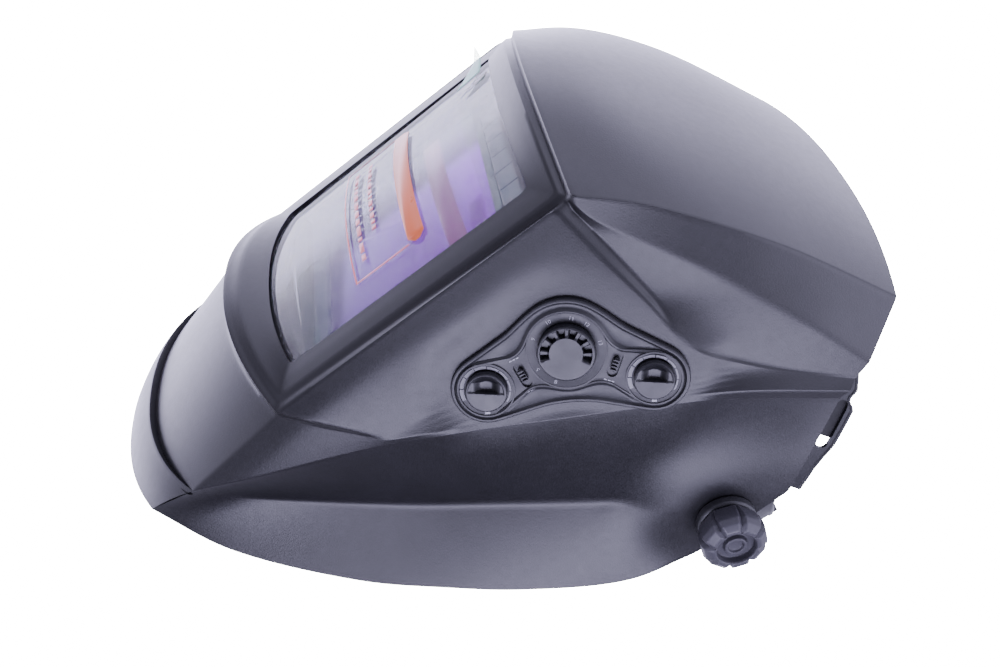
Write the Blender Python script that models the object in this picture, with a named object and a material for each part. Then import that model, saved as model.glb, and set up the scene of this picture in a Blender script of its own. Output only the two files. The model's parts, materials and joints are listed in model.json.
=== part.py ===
"""Welding helmet with auto-darkening filter, side control module and ratchet headgear.

Worn frame: +Z is the wearer's up, -Y is forward, +X is the wearer's left.
The origin is the middle of the axis that the face shell tilts about.
Sizes below are in millimetres and are turned into metres as each mesh is made.
"""
import math

import bmesh
import bpy
from mathutils import Vector

MM = 0.001
GAP = 0.4

# Face shell: feature lines of the left half, each point as (share of the line, x, y, z).
RIDGE = ((0, 77, -148.5, 35.3), (0.15, 82, -132.7, 53), (0.29, 86, -115.6, 66.2),
         (0.46, 88, -93.9, 79.4), (0.61, 88, -74.2, 89.3), (1, 88, -29.5, 107.7))
BROW_LINE = ((0, 77.5, -145.8, 34.2), (0.08, 80.3, -136.5, 36.3), (0.34, 92, -101.9, 55.6),
             (0.72, 100, -56.8, 74.9), (1, 104, -23.2, 85.3))
STEP_FOOT = ((0, 75.6, -144.1, 31.9), (0.2, 83.4, -122.6, 34.4), (0.4, 92.2, -98.1, 35.9),
             (0.56, 100.2, -78, 36.8), (0.78, 104, -50, 54), (1, 105.6, -22, 78.5))
STEP_EDGE = ((0, 77.1, -148.4, 28.1), (0.2, 85.1, -125.4, 30.2), (0.4, 93.9, -100.4, 33.9),
             (0.56, 101.1, -79, 35.2), (0.78, 104.6, -50.8, 52.8), (1, 106, -21.6, 76.8))
CHEEK_LINE = ((0, 72, -139, -170.4), (0.11, 79.6, -131.6, -141.9), (0.325, 89, -114.3, -88.5),
              (0.51, 96.6, -92.8, -44), (0.68, 104, -72.5, -2.4), (0.82, 108.5, -53.8, 32),
              (1, 108.6, -19.8, 68))
JAW_LINE = ((0, 72, -139, -170.4), (0.1, 73.2, -119.2, -154.4), (0.36, 85.2, -79.2, -104.2),
            (0.525, 91.8, -56.1, -71.7), (0.72, 99.5, -28.3, -31.3), (0.94, 108.5, -0.7, 15.1),
            (1, 112, 6.6, 27.5))
HEM_LINE = ((0, 62.9, -138.4, -196.8), (0.16, 79.5, -108, -178.5), (0.39, 97.5, -69.3, -140.7),
            (0.55, 106, -45.2, -111), (0.67, 110.3, -26.8, -88.6), (0.85, 113.5, -1.9, -53.1),
            (1, 114, 9.5, -19.2))

# The raised mask's lower edge stands this far above the cheek line at the front and from its tip on.
MASK_TIP = 0.325
MASK_RISE = (58.0, 5.0)
MASK_LEAN = (6.0 / MASK_RISE[0], -10.3 / MASK_RISE[0], 1.0)
MASK_STEP = (-2.5, 2.8, -2.1)
MASK_SEAM = 1.6

# Arcs across the front: half width, y at the side, bulge forward, z at the side, rise at the middle.
CROWN_RIM = (77, -148.5, 17.5, 35.3, 4.7)
CHIN_LIP = (78, -149.3, 23.7, -112.4, -10.6)
CHIN_RECESS = (75.5, -146.5, 21.5, -114.5, -11.5)
FLANGE_TOP = (72, -139, 12, -170.4, -17.1)
FLANGE_LEDGE = (-3.0, -1.4)
FLANGE_HEM = (62.9, -138.4, 7.6, -196.8, -13.2)
# Window surround from the rim inwards: upper arc, lower arc.
WINDOW_RINGS = (((74.5, -147.2, 16.0, 33.0, 4.2), (74.5, -150.0, 21.5, -110.5, -9.6)),
                ((72.5, -149.6, 15.5, 31.0, 3.6), (72.5, -151.2, 19.0, -108.2, -8.2)),
                ((66.0, -151.2, 12.0, 26.0, 2.5), (66.0, -152.6, 13.0, -104.8, -6.6)),
                ((60.0, -152.5, 8.5, 21.0, 1.5), (60.0, -153.5, 8.0, -101.0, -5.5)))
CROWN_RISE_REAR = 10.0
SHELL_WALL = 2.5
SHELL_STATIONS = 13
MASK_ROWS = 5
CHIN_ROWS = 2
HEM_ROWS = 3
ACROSS = (0.0, 0.25, 0.5, 0.75, 0.92, 1.0)

# Lens stack.
LENS_HALF_WIDTH = 64.0
LENS_TOP = 25.0
LENS_BOTTOM = -105.0
CASE_HALF_WIDTH = 62.0
CASE_TOP = 18.0
CASE_BOTTOM = -98.0
CASE_FRONT = -142.0
CASE_DEPTH = 12.0
CASE_WALL = 2.0
VIEW_WINDOW = (54.0, -90.0, 0.5)
SENSOR_PLACES = ((-50.0, 9.0), (50.0, 9.0))

# Control module on the left cheek: dial centres in the facet's own plane (rearward, up).
FACET_ORIGIN = Vector((92.4, -104.6, -2.2))
FACET_SLOPE = 0.35
DIAL_CENTRES = {"shade": (0.5, -0.5), "sensitivity": (-4.8, -35.6), "delay": (29.7, 19.8)}
DIAL_RADII = {"shade": 11.3, "sensitivity": 8.3, "delay": 8.0}
DIAL_HEIGHTS = {"shade": 6.0, "sensitivity": 5.4, "delay": 5.4}
MODULE_RADII = {"shade": 19.5, "sensitivity": 14.2, "delay": 14.0}
SWITCH_CENTRES = {"mode": (-1.4, -20.2), "range": (16.1, 11.2)}
SWITCH_TRAVEL = 2.0
SWITCH_HALF_LENGTH = 3.0
SWITCH_HALF_WIDTH = 1.3
PLATE_THICKNESS = 2.2
CONTROL_BOX_DEPTH = 14.0
CONTROL_BOX_WALL = 1.6
SHAFT_RADIUS = 3.0
SHAFT_CLEARANCE = 0.4
POTENTIOMETER_RADIUS = 6.0

# Pivots.
PIVOT_FACE = 111.5
BOLT_RADIUS = 3.9
BOLT_TIP = 124.0
KNOB_RADIUS = 14.0
KNOB_TIP = 130.0
CARRIAGE_TRAVEL = 8.0
STOP_REST = -100.0
STOP_SWING = 88.0
STOP_CLEAR = 14.0

# Headgear.
BAND_CENTRE_Y = 3.0
BAND_HALF_WIDTH = 76.0
BAND_HALF_LENGTH = 80.0
BAND_WALL = 2.0
BAND_BOTTOM = -6.0
BAND_TOP = 22.0
BAND_REACH = 118.0
REAR_PATH = ((73.4, 34.2), (69.5, 50.0), (61.0, 67.0), (49.0, 79.5), (41.0, 84.4), (32.5, 85.4))
REAR_DROPS = (0.0, -11.0, -20.0, -22.0, -22.0, -22.0)
PAD_REACH = 60.0
PAD_THICKNESS = 5.0
# Crown strap's arch: half width, z at its feet, z at its top, y at z = 0, backward tilt.
CROWN_ARCH = (77.0, 12.0, 102.0, 45.0, 0.50)
# Forward sweep towards the top, and the height where it starts.
CROWN_SWEEP = (26.0, 56.0)
CROWN_HALF_WIDTH = 12.0
CROWN_FOOT = 85.0
CROWN_LAP = 12.0
VENT_SLOT = (11.0, 1.6)
VENT_HEIGHT = 48.0
VENT_OFFSET = 8.6
RAIL_FRONT = -34.0
RAIL_REAR = 24.0
RIVET_PLACES = (-26.0, 19.0)
RATCHET_CENTRE = Vector((0.0, 88.0, -14.0))
PINION_TEETH = 12
PINION_PITCH_RADIUS = 6.5
PRESSURE_ANGLE = math.radians(20)
TOOTH_ADDENDUM = 0.75
TOOTH_DEDENDUM = 1.15
TOOTH_BACKLASH = 0.35
RACK_THICKNESS = 2.0
RACK_REACH = (-20.4, 42.0)


def clear_scene():
    for obj in list(bpy.data.objects):
        bpy.data.objects.remove(obj, do_unlink=True)


def make_material(name, colour, roughness, metallic=0.0):
    mat = bpy.data.materials.new(name)
    mat.use_nodes = True
    shader = mat.node_tree.nodes["Principled BSDF"]
    shader.inputs["Base Color"].default_value = (*colour, 1.0)
    shader.inputs["Roughness"].default_value = roughness
    shader.inputs["Metallic"].default_value = metallic
    return mat


def make_empty(name, location_mm, parent=None):
    empty = bpy.data.objects.new(name, None)
    empty.location = Vector(location_mm) * MM
    bpy.context.collection.objects.link(empty)
    if parent:
        empty.parent = parent
        empty.location -= world_place(parent)
    return empty


def world_place(obj):
    place = Vector(obj.location)
    while obj.parent:
        obj = obj.parent
        place += obj.location
    return place


def make_object(name, points, faces, mat=None, pivot=None, smooth=35):
    """A closed mesh from points in millimetres; pivot is the empty on its joint's axis."""
    bm = bmesh.new()
    verts = [bm.verts.new(Vector(p) * MM) for p in points]
    for face in faces:
        corners = [verts[i] for i in dict.fromkeys(face)]
        if len(corners) > 2:
            bm.faces.new(corners)
    bmesh.ops.remove_doubles(bm, verts=bm.verts, dist=0.01 * MM)
    bmesh.ops.dissolve_degenerate(bm, edges=bm.edges, dist=0.001 * MM)
    bmesh.ops.recalc_face_normals(bm, faces=bm.faces)
    mesh = bpy.data.meshes.new(name)
    bm.to_mesh(mesh)
    bm.free()
    mesh.shade_smooth()
    mesh.set_sharp_from_angle(angle=math.radians(smooth))
    obj = bpy.data.objects.new(name, mesh)
    bpy.context.collection.objects.link(obj)
    if mat:
        mesh.materials.append(mat)
    if pivot:
        obj.parent = pivot
        obj.location = -world_place(pivot)
    return obj


def plane_axes(normal, up=Vector((0, 0, 1))):
    """Rearward-like axis, upward axis and unit normal of a plane."""
    normal = Vector(normal).normalized()
    side = Vector(up).cross(normal)
    if side.length < 1e-6:
        side = Vector((1, 0, 0))
    side.normalize()
    return side, normal.cross(side), normal


def placed(origin, axes, a, b, d):
    return Vector(origin) + axes[0] * a + axes[1] * b + axes[2] * d


def prism(name, outline, origin, axes, low, high, mat=None, pivot=None):
    """A flat outline of (a, b) points, extruded along the plane's normal from low to high."""
    count = len(outline)
    points = [placed(origin, axes, a, b, low) for a, b in outline]
    points += [placed(origin, axes, a, b, high) for a, b in outline]
    faces = [tuple(range(count))[::-1], tuple(range(count, 2 * count))]
    faces += [(i, (i + 1) % count, count + (i + 1) % count, count + i) for i in range(count)]
    return make_object(name, points, faces, mat, pivot)


def skin_rings(name, rings, mat=None, pivot=None, closed=True, smooth=35):
    """Joins rings of points; closed also joins the last ring to the first."""
    count = len(rings[0])
    points = [p for ring in rings for p in ring]
    steps = len(rings) if closed else len(rings) - 1
    faces = []
    for r in range(steps):
        here = r * count
        there = ((r + 1) % len(rings)) * count
        for i in range(count):
            j = (i + 1) % count
            faces.append((here + i, here + j, there + j, there + i))
    if not closed:
        faces.append(tuple(range(count))[::-1])
        faces.append(tuple(range((len(rings) - 1) * count, len(rings) * count)))
    return make_object(name, points, faces, mat, pivot, smooth)


def box(name, low, high, mat=None, pivot=None):
    outline = ((low[0], low[1]), (high[0], low[1]), (high[0], high[1]), (low[0], high[1]))
    axes = (Vector((1, 0, 0)), Vector((0, 1, 0)), Vector((0, 0, 1)))
    return prism(name, outline, (0, 0, 0), axes, low[2], high[2], mat, pivot)


def circle(radius, count, centre=(0.0, 0.0), lobes=0, depth=0.0):
    """A circle's points; lobes cuts that many shallow flutes of the given depth."""
    outline = []
    for i in range(count):
        angle = 2 * math.pi * i / count
        reach = radius - depth * (0.5 - 0.5 * math.cos(lobes * angle))
        outline.append((centre[0] + reach * math.cos(angle), centre[1] + reach * math.sin(angle)))
    return outline


def disc(name, origin, axes, radius, low, high, mat=None, pivot=None, count=24, centre=(0, 0)):
    return prism(name, circle(radius, count, centre), origin, axes, low, high, mat, pivot)


def turned(name, profile, origin, axes, mat=None, pivot=None, count=32, lobes=0, depth=0.0):
    """A turned piece with closed profile points (radius, height, share of the flute depth)."""
    rings = []
    for i in range(count):
        angle = 2 * math.pi * i / count
        ring = []
        for radius, height, share in profile:
            reach = radius - depth * share * (0.5 - 0.5 * math.cos(lobes * angle))
            ring.append(placed(origin, axes, reach * math.cos(angle), reach * math.sin(angle), height))
        rings.append(ring)
    return skin_rings(name, rings, mat, pivot)


def combine(obj, others, operation):
    for i, other in enumerate(others):
        other.hide_render = True
        other.display_type = "WIRE"
        mod = obj.modifiers.new(f"{operation.lower()}_{i}", "BOOLEAN")
        mod.operation = operation
        mod.object = other
    return obj


def cut(obj, *cutters):
    return combine(obj, cutters, "DIFFERENCE")


def join(obj, *others):
    return combine(obj, others, "UNION")


def line_at(line, t):
    """A smooth curve through (share, x, y, z) points, read at share t."""
    t = min(max(t, 0.0), 1.0)
    i = max(k for k in range(len(line) - 1) if line[k][0] <= t + 1e-9)

    def slope(k):
        low = line[max(k - 1, 0)]
        high = line[min(k + 1, len(line) - 1)]
        return (Vector(high[1:]) - Vector(low[1:])) / (high[0] - low[0])

    span = line[i + 1][0] - line[i][0]
    u = (t - line[i][0]) / span
    start = Vector(line[i][1:])
    end = Vector(line[i + 1][1:])
    return (start * (2 * u ** 3 - 3 * u ** 2 + 1) + end * (3 * u ** 2 - 2 * u ** 3)
            + slope(i) * span * (u ** 3 - 2 * u ** 2 + u) + slope(i + 1) * span * (u ** 3 - u ** 2))


def arc_at(arc, s, power=2.2):
    """A point on an arc across the front at share s of its half width."""
    half, side_y, bulge, side_z, rise = arc
    return Vector((half * s, side_y - bulge * (1 - s ** power), side_z + rise * (1 - s ** 2.4)))


def smooth_share(value, low, high):
    u = min(max((value - low) / (high - low), 0.0), 1.0)
    return u * u * (3 - 2 * u)


def tapered_capsule(p, a, ra, b, rb):
    """Distance from p to the outline of two circles joined by their tangents."""
    ba = Vector(b) - Vector(a)
    pa = Vector(p) - Vector(a)
    length2 = ba.length_squared
    rr = ra - rb
    a2 = length2 - rr * rr
    y = pa.dot(ba)
    z = y - length2
    x2 = (pa * length2 - ba * y).length_squared
    k = math.copysign(1, rr) * rr * rr * x2
    if math.copysign(1, z) * a2 * z * z * length2 > k:
        return math.sqrt(x2 + z * z * length2) / length2 - rb
    if math.copysign(1, y) * a2 * y * y * length2 < k:
        return math.sqrt(x2 + y * y * length2) / length2 - ra
    return (math.sqrt(x2 * a2 / length2) + y * rr) / length2 - ra


def module_distance(p):
    """Distance in the facet plane from p to the control module's outline."""
    centre = DIAL_CENTRES["shade"]
    arms = []
    for name in ("sensitivity", "delay"):
        arms.append(tapered_capsule(p, centre, MODULE_RADII["shade"], DIAL_CENTRES[name], MODULE_RADII[name]))
    blend = 7.0
    h = max(blend - abs(arms[0] - arms[1]), 0.0) / blend
    return min(arms) - h * h * blend / 4


def module_outline(inset, count=36):
    """The module's outline moved inwards by inset, walked round the middle dial."""
    outline = []
    cx, cy = DIAL_CENTRES["shade"]
    for i in range(count):
        angle = 2 * math.pi * i / count
        low, high = 0.0, 70.0
        for _ in range(30):
            mid = (low + high) / 2
            if module_distance((cx + mid * math.cos(angle), cy + mid * math.sin(angle))) < -inset:
                low = mid
            else:
                high = mid
        outline.append((cx + low * math.cos(angle), cy + low * math.sin(angle)))
    return outline


def facet_axes():
    normal = Vector((1, -FACET_SLOPE, 0)).normalized()
    return Vector((FACET_SLOPE, 1, 0)).normalized(), Vector((0, 0, 1)), normal


def seat_controls(p):
    """Flattens the wall onto the control facet around the module."""
    axes = facet_axes()
    offset = p - FACET_ORIGIN
    distance = module_distance((offset.dot(axes[0]), offset.dot(axes[1])))
    weight = 1 - smooth_share(distance, 3.6, 12.0)
    return p - axes[2] * (offset.dot(axes[2]) * weight)


def seat_pivot(p):
    """Flattens the wall to an upright disc around the pivot."""
    weight = 1 - smooth_share(math.hypot(p.y, p.z), 21.0, 36.0)
    return Vector((p.x + (PIVOT_FACE - p.x) * weight, p.y, p.z))


def shell_grid(rows):
    """Points and faces of a sheet given as rows of equal length."""
    width = len(rows[0])
    points = [p for row in rows for p in row]
    faces = []
    for r in range(len(rows) - 1):
        for c in range(width - 1):
            here = r * width + c
            faces.append((here, here + 1, here + width + 1, here + width))
    return points, faces


def crown_row(s, stations):
    """One fore-aft row of the crown at share s of the distance from the middle to the ridge."""
    row = []
    for t in stations:
        ridge = line_at(RIDGE, t)
        lean = math.radians(12 + 76 * t)
        front = arc_at(CROWN_RIM, s) - arc_at(CROWN_RIM, 1.0)
        rise = CROWN_RISE_REAR * (1 - s ** 2.2) * smooth_share(t, -0.4, 0.9)
        base = Vector((ridge.x * s, ridge.y, ridge.z))
        fade = (1 - t) ** 2
        row.append(base + Vector((0, front.y, front.z)) * fade
                   + Vector((0, -math.cos(lean), math.sin(lean))) * rise * (1 - fade))
    return row


def mask_edge(t):
    """Lower edge of the raised mask, closing in on the cheek line at the mask's tip."""
    share = min(t / MASK_TIP, 1.0)
    rise = MASK_RISE[0] + (MASK_RISE[1] - MASK_RISE[0]) * share
    return line_at(CHEEK_LINE, t) + Vector(MASK_LEAN) * rise


def mask_foot(t):
    """Foot of the step under the mask; the step runs out at the mask's tip."""
    share = min(t / MASK_TIP, 1.0)
    return mask_edge(t) + Vector(MASK_STEP) * (1 - share) - Vector((0, 0, MASK_SEAM)) * share


def read_line(line, t):
    return line(t) if callable(line) else line_at(line, t)


def between(first, last, share, stations):
    return [read_line(first, t).lerp(read_line(last, t), share) for t in stations]


def side_rows(stations):
    """Fore-aft rows from the ridge down to the hem."""
    spans = ((RIDGE, BROW_LINE, 1), (BROW_LINE, STEP_FOOT, 1), (STEP_FOOT, STEP_EDGE, 1),
             (STEP_EDGE, mask_edge, MASK_ROWS), (mask_edge, mask_foot, 1), (mask_foot, CHEEK_LINE, CHIN_ROWS),
             (CHEEK_LINE, JAW_LINE, 1), (JAW_LINE, HEM_LINE, HEM_ROWS))
    rows = [between(RIDGE, RIDGE, 0.0, stations)]
    for first, last, count in spans:
        for i in range(1, count + 1):
            rows.append(between(first, last, i / count, stations))
    return [[seat_pivot(seat_controls(p)) for p in row] for row in rows]


def window_side(ring, count):
    """Points down the side of one window ring."""
    top = arc_at(ring[0], 1.0)
    bottom = arc_at(ring[1], 1.0)
    return [top.lerp(bottom, i / count) for i in range(count + 1)]


def shell_sheets():
    """The left half of the outer surface as separate sheets that share their edges."""
    stations = [i / SHELL_STATIONS for i in range(SHELL_STATIONS + 1)]
    sheets = [shell_grid([crown_row(s, stations) for s in ACROSS])]
    rows = side_rows(stations)
    sheets.append(shell_grid(rows))
    side_start = [between(STEP_EDGE, mask_edge, i / MASK_ROWS, [0.0])[0] for i in range(MASK_ROWS + 1)]
    outer = [arc_at(CROWN_RIM, s) for s in ACROSS], side_start, [arc_at(CHIN_LIP, s) for s in ACROSS]
    rings = [outer]
    for ring in WINDOW_RINGS:
        rings.append(([arc_at(ring[0], s) for s in ACROSS], window_side(ring, MASK_ROWS),
                      [arc_at(ring[1], s) for s in ACROSS]))
    for stretch in range(3):
        sheets.append(shell_grid([ring[stretch] for ring in rings]))
    fan = [line_at(line, 0.0) for line in (RIDGE, BROW_LINE, STEP_FOOT, STEP_EDGE)]
    corner = arc_at(WINDOW_RINGS[0][0], 1.0)
    sheets.append((fan + [corner], [(i, i + 1, 4) for i in range(3)]))
    recess = [arc_at(CHIN_RECESS, s) for s in ACROSS]
    flange = [arc_at(FLANGE_TOP, s) for s in ACROSS]
    hem = [arc_at(FLANGE_HEM, s) for s in ACROSS]
    lip = [arc_at(CHIN_LIP, s) for s in ACROSS]
    chin = [[a.lerp(b, i / CHIN_ROWS) for a, b in zip(recess, flange)] for i in range(CHIN_ROWS + 1)]
    ledge = [p + Vector((0, *FLANGE_LEDGE)) * (1 - s ** 6) for p, s in zip(flange, ACROSS)]
    brim = [[a.lerp(b, i / HEM_ROWS) for a, b in zip(ledge, hem)] for i in range(HEM_ROWS + 1)]
    sheets.append(shell_grid([lip] + chin + brim))
    return sheets


def outward_volume(mesh):
    """Sign of how the sheet's faces look away from the middle of the helmet."""
    middle = Vector((0, -60, -40)) * MM
    return sum((f.center - middle).dot(f.normal) * f.area for f in mesh.polygons)


def smoothed_normals(bm, passes=4):
    """Vertex normals averaged with their neighbours, so that an offset does not fold at the creases."""
    normals = [v.normal.copy() for v in bm.verts]
    for _ in range(passes):
        normals = [(normals[v.index] + sum((normals[e.other_vert(v).index] for e in v.link_edges), Vector()))
                   .normalized() for v in bm.verts]
    return normals


def thicken(obj, wall):
    """Turns an open sheet into a closed wall, keeping the sheet as its outer face."""
    bm = bmesh.new()
    bm.from_mesh(obj.data)
    bm.verts.index_update()
    outer = list(bm.verts)
    sheet = list(bm.faces)
    inner = [bm.verts.new(v.co - n * wall) for v, n in zip(outer, smoothed_normals(bm))]
    for face in sheet:
        bm.faces.new([inner[v.index] for v in reversed(face.verts)])
    for face in sheet:
        for loop in face.loops:
            if len(loop.edge.link_faces) == 1:
                a = loop.vert
                b = loop.link_loop_next.vert
                bm.faces.new((b, a, inner[a.index], inner[b.index]))
    bm.to_mesh(obj.data)
    bm.free()
    obj.data.shade_smooth()
    obj.data.set_sharp_from_angle(angle=math.radians(10))


def make_shell(mat, pivot):
    points = []
    faces = []
    for sheet_points, sheet_faces in shell_sheets():
        for side in (1, -1):
            start = len(points)
            points += [Vector((p.x * side, p.y, p.z)) for p in sheet_points]
            faces += [tuple(start + i for i in face) for face in sheet_faces]
    shell = make_object("helmet_shell", points, faces, mat, pivot)
    if outward_volume(shell.data) < 0:
        shell.data.flip_normals()
    thicken(shell, SHELL_WALL * MM)
    axes = facet_axes()
    window = prism("cutter_module", module_outline(3.0), FACET_ORIGIN, axes, -9, 9, pivot=pivot)
    holes = []
    for side, name in ((1, "left"), (-1, "right")):
        x_axes = (Vector((0, 1, 0)), Vector((0, 0, 1)), Vector((1, 0, 0)))
        holes.append(disc(f"cutter_pivot_{name}", (side * PIVOT_FACE, 0, 0), x_axes, 6.0, -9, 9, pivot=pivot))
    return cut(shell, window, *holes)


def lens_curve(x):
    """y of the window opening's plane at width x."""
    half, side_y, bulge = WINDOW_RINGS[-1][0][:3]
    return side_y - 0.5 - bulge * (1 - (x / half) ** 2)


def window_loop(half, bottom, top, depth, flat_y=None, steps=8):
    """A rectangular loop round the window, following its curve unless flat_y is given."""
    xs = [-half + 2 * half * i / steps for i in range(steps + 1)]
    bow = [1 - (x / half) ** 2 for x in xs]
    loop = [(x, top + WINDOW_RINGS[-1][0][4] * b) for x, b in zip(xs, bow)]
    loop += [(x, bottom + WINDOW_RINGS[-1][1][4] * b) for x, b in reversed(list(zip(xs, bow)))]
    return [Vector((x, flat_y if flat_y is not None else lens_curve(x) + depth, z)) for x, z in loop]


def curved_plate(name, half, bottom, top, low, high, mat, pivot, steps=8):
    """A plate curved like the window, low to high behind its plane."""
    rings = []
    for i in range(steps + 1):
        x = -half + 2 * half * i / steps
        y = lens_curve(x)
        bow = 1 - (x / half) ** 2
        foot = bottom + WINDOW_RINGS[-1][1][4] * bow
        head = top + WINDOW_RINGS[-1][0][4] * bow
        rings.append([Vector((x, y + low, foot)), Vector((x, y + high, foot)),
                      Vector((x, y + high, head)), Vector((x, y + low, head))])
    return skin_rings(name, rings, mat, pivot, closed=False)


def make_lens_stack(mats, pivot):
    gasket = [window_loop(64, LENS_BOTTOM, LENS_TOP, 3.4), window_loop(58.9, -99.9, 19.9, 3.4),
              window_loop(58.9, -99.9, 19.9, 4.4), window_loop(64, LENS_BOTTOM, LENS_TOP, 4.4)]
    skin_rings("lens_gasket", gasket, mats["rubber"], pivot)
    curved_plate("outer_lens", LENS_HALF_WIDTH, LENS_BOTTOM, LENS_TOP, 4.8, 6.0, mats["clear"], pivot)
    stop = CASE_FRONT - GAP
    rear = CASE_FRONT + CASE_DEPTH + 2.6
    frame = [window_loop(66, -104, 24, 6.4), window_loop(58.5, -97, 17, 6.4),
             window_loop(58.5, -97, 17, 0, stop), window_loop(62.4, -98.4, 18.4, 0, stop),
             window_loop(62.4, -98.4, 18.4, 0, rear), window_loop(66, -104, 24, 0, rear)]
    skin_rings("lens_frame", frame, mats["plastic"], pivot)
    make_filter(mats, pivot)


def make_filter(mats, pivot):
    """The auto-darkening cartridge: case, glass, solar cell, sensors, board, cover and inner lens."""
    half, top, bottom = CASE_HALF_WIDTH, CASE_TOP, CASE_BOTTOM
    front = CASE_FRONT
    rear = front + CASE_DEPTH
    window = VIEW_WINDOW
    case = box("filter_case", (-half, front, bottom), (half, rear, top), mats["case"], pivot)
    cavity = box("cutter_cavity", (CASE_WALL - half, front + 2.5, bottom + CASE_WALL),
                 (half - CASE_WALL, rear + 2, top - CASE_WALL), pivot=pivot)
    view = box("cutter_view", (-window[0], front - 2, window[1]), (window[0], front + 4, window[2]), pivot=pivot)
    cell = box("cutter_cell", (-42, front - 2, 4), (42, front + 1.2, 14), pivot=pivot)
    axes = plane_axes((0, -1, 0))
    holes = [cell, view, cavity]
    for i, (x, z) in enumerate(SENSOR_PLACES):
        place = Vector((x, front, z))
        holes.append(disc(f"cutter_sensor_{i}", place, axes, 3.6, -4, 4, pivot=pivot, count=16))
        profile = ((0, -2.4, 0), (3.2, -2.4, 0), (3.2, 0.2, 0), (2.2, 1.0, 0), (0, 1.2, 0))
        turned(f"arc_sensor_{i + 1}", profile, place, axes, mats["sensor"], pivot, count=16)
    cut(case, *holes)
    box("solar_cell", (-41.6, front + 0.3, 4.4), (41.6, front + 0.9, 13.6), mats["solar"], pivot)
    box("filter_glass", (-57, front + 2.9, -93), (57, front + 7.5, 2.2), mats["filter"], pivot)
    box("sensor_board", (-54, front + 2.9, 3.2), (54, front + 4.4, 15), mats["board"], pivot)
    cover = box("filter_cover", (-half, rear + GAP, bottom), (half, rear + GAP + 2, top), mats["case"], pivot)
    cut(cover, box("cutter_cover", (-window[0], rear - 2, window[1]), (window[0], rear + 6, window[2]), pivot=pivot))
    low = rear + GAP + 2 + GAP
    box("inner_lens", (-58, low, -93), (58, low + 1.2, 3.5), mats["clear"], pivot)


def make_controls(mats, pivot):
    axes = facet_axes()
    plate_low = GAP
    plate_high = plate_low + PLATE_THICKNESS
    plate = prism("control_plate", module_outline(0.0), FACET_ORIGIN, axes, plate_low, plate_high,
                  mats["plastic"], pivot)
    cutters = []
    for name, centre in DIAL_CENTRES.items():
        cutters.append(disc(f"cutter_{name}_shaft", FACET_ORIGIN, axes, SHAFT_RADIUS + SHAFT_CLEARANCE, -20, 20,
                            pivot=pivot, count=16, centre=centre))
    box_outline = module_outline(4.0)
    cup = prism("control_box", box_outline, FACET_ORIGIN, axes, -CONTROL_BOX_DEPTH, -0.2, mats["plastic"], pivot)
    cut(cup, prism("cutter_cup", module_outline(4.0 + CONTROL_BOX_WALL), FACET_ORIGIN, axes,
                   CONTROL_BOX_WALL - CONTROL_BOX_DEPTH, 9, pivot=pivot))
    prism("control_board", module_outline(6.4), FACET_ORIGIN, axes, -10.0, -8.6, mats["board"], pivot)
    for name, centre in DIAL_CENTRES.items():
        bore = SHAFT_RADIUS + SHAFT_CLEARANCE
        profile = ((bore, -8.2, 0), (POTENTIOMETER_RADIUS, -8.2, 0), (POTENTIOMETER_RADIUS, -3.6, 0), (bore, -3.6, 0))
        place = placed(FACET_ORIGIN, axes, *centre, 0)
        turned(f"{name}_potentiometer", profile, place, axes, mats["steel"], pivot, count=16)
        radius = DIAL_RADII[name]
        height = DIAL_HEIGHTS[name]
        profile = ((0, -7.2, 0), (SHAFT_RADIUS, -7.2, 0), (SHAFT_RADIUS, plate_high + GAP, 0),
                   (radius, plate_high + GAP, 0), (radius, height - 1.2, 0), (radius - 1.4, height, 0), (0, height, 0))
        joint = make_empty(f"{name}_knob_axis", place, pivot)
        turned(f"{name}_knob", profile, place, axes, mats["gloss"], joint, count=20)
    for name, centre in SWITCH_CENTRES.items():
        way = switch_axis(name)
        place = placed(FACET_ORIGIN, axes, *centre, 0)
        frame = (way, axes[2].cross(way), axes[2])
        half = SWITCH_HALF_LENGTH
        wide = SWITCH_HALF_WIDTH
        reach = half + SWITCH_TRAVEL + GAP
        slot = ((-reach, -wide - GAP), (reach, -wide - GAP), (reach, wide + GAP), (-reach, wide + GAP))
        cutters.append(prism(f"cutter_{name}_slot", slot, place, frame, -20, 20, pivot=pivot))
        button = ((-half, -wide), (half, -wide), (half, wide), (-half, wide))
        joint = make_empty(f"{name}_switch_axis", place, pivot)
        prism(f"{name}_switch", button, place, frame, -4.0, plate_high + 1.2, mats["gloss"], joint)
    cut(plate, *cutters)
    make_ribbon(mats["ribbon"], pivot)


def switch_axis(name):
    """Sliding direction of a switch: across the arm that it sits on."""
    axes = facet_axes()
    other = {"mode": "sensitivity", "range": "delay"}[name]
    a = DIAL_CENTRES[other][0] - DIAL_CENTRES["shade"][0]
    b = DIAL_CENTRES[other][1] - DIAL_CENTRES["shade"][1]
    return (axes[0] * -b + axes[1] * a).normalized()


def make_ribbon(mat, pivot):
    """The flat cable from the control box to the filter cartridge."""
    path = ((70.6, -110.0), (66.0, -116.0), (60.0, -120.0), (50.0, -123.5))
    rings = []
    for i, (x, y) in enumerate(path):
        ahead = Vector(path[min(i + 1, 3)]) - Vector(path[max(i - 1, 0)])
        side = Vector((-ahead.y, ahead.x)).normalized() * 0.4
        rings.append([Vector((x + side.x * k, y + side.y * k, z)) for k, z in ((1, -26), (-1, -26), (-1, -12), (1, -12))])
    skin_rings("ribbon_cable", rings, mat, pivot, closed=False)


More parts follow.
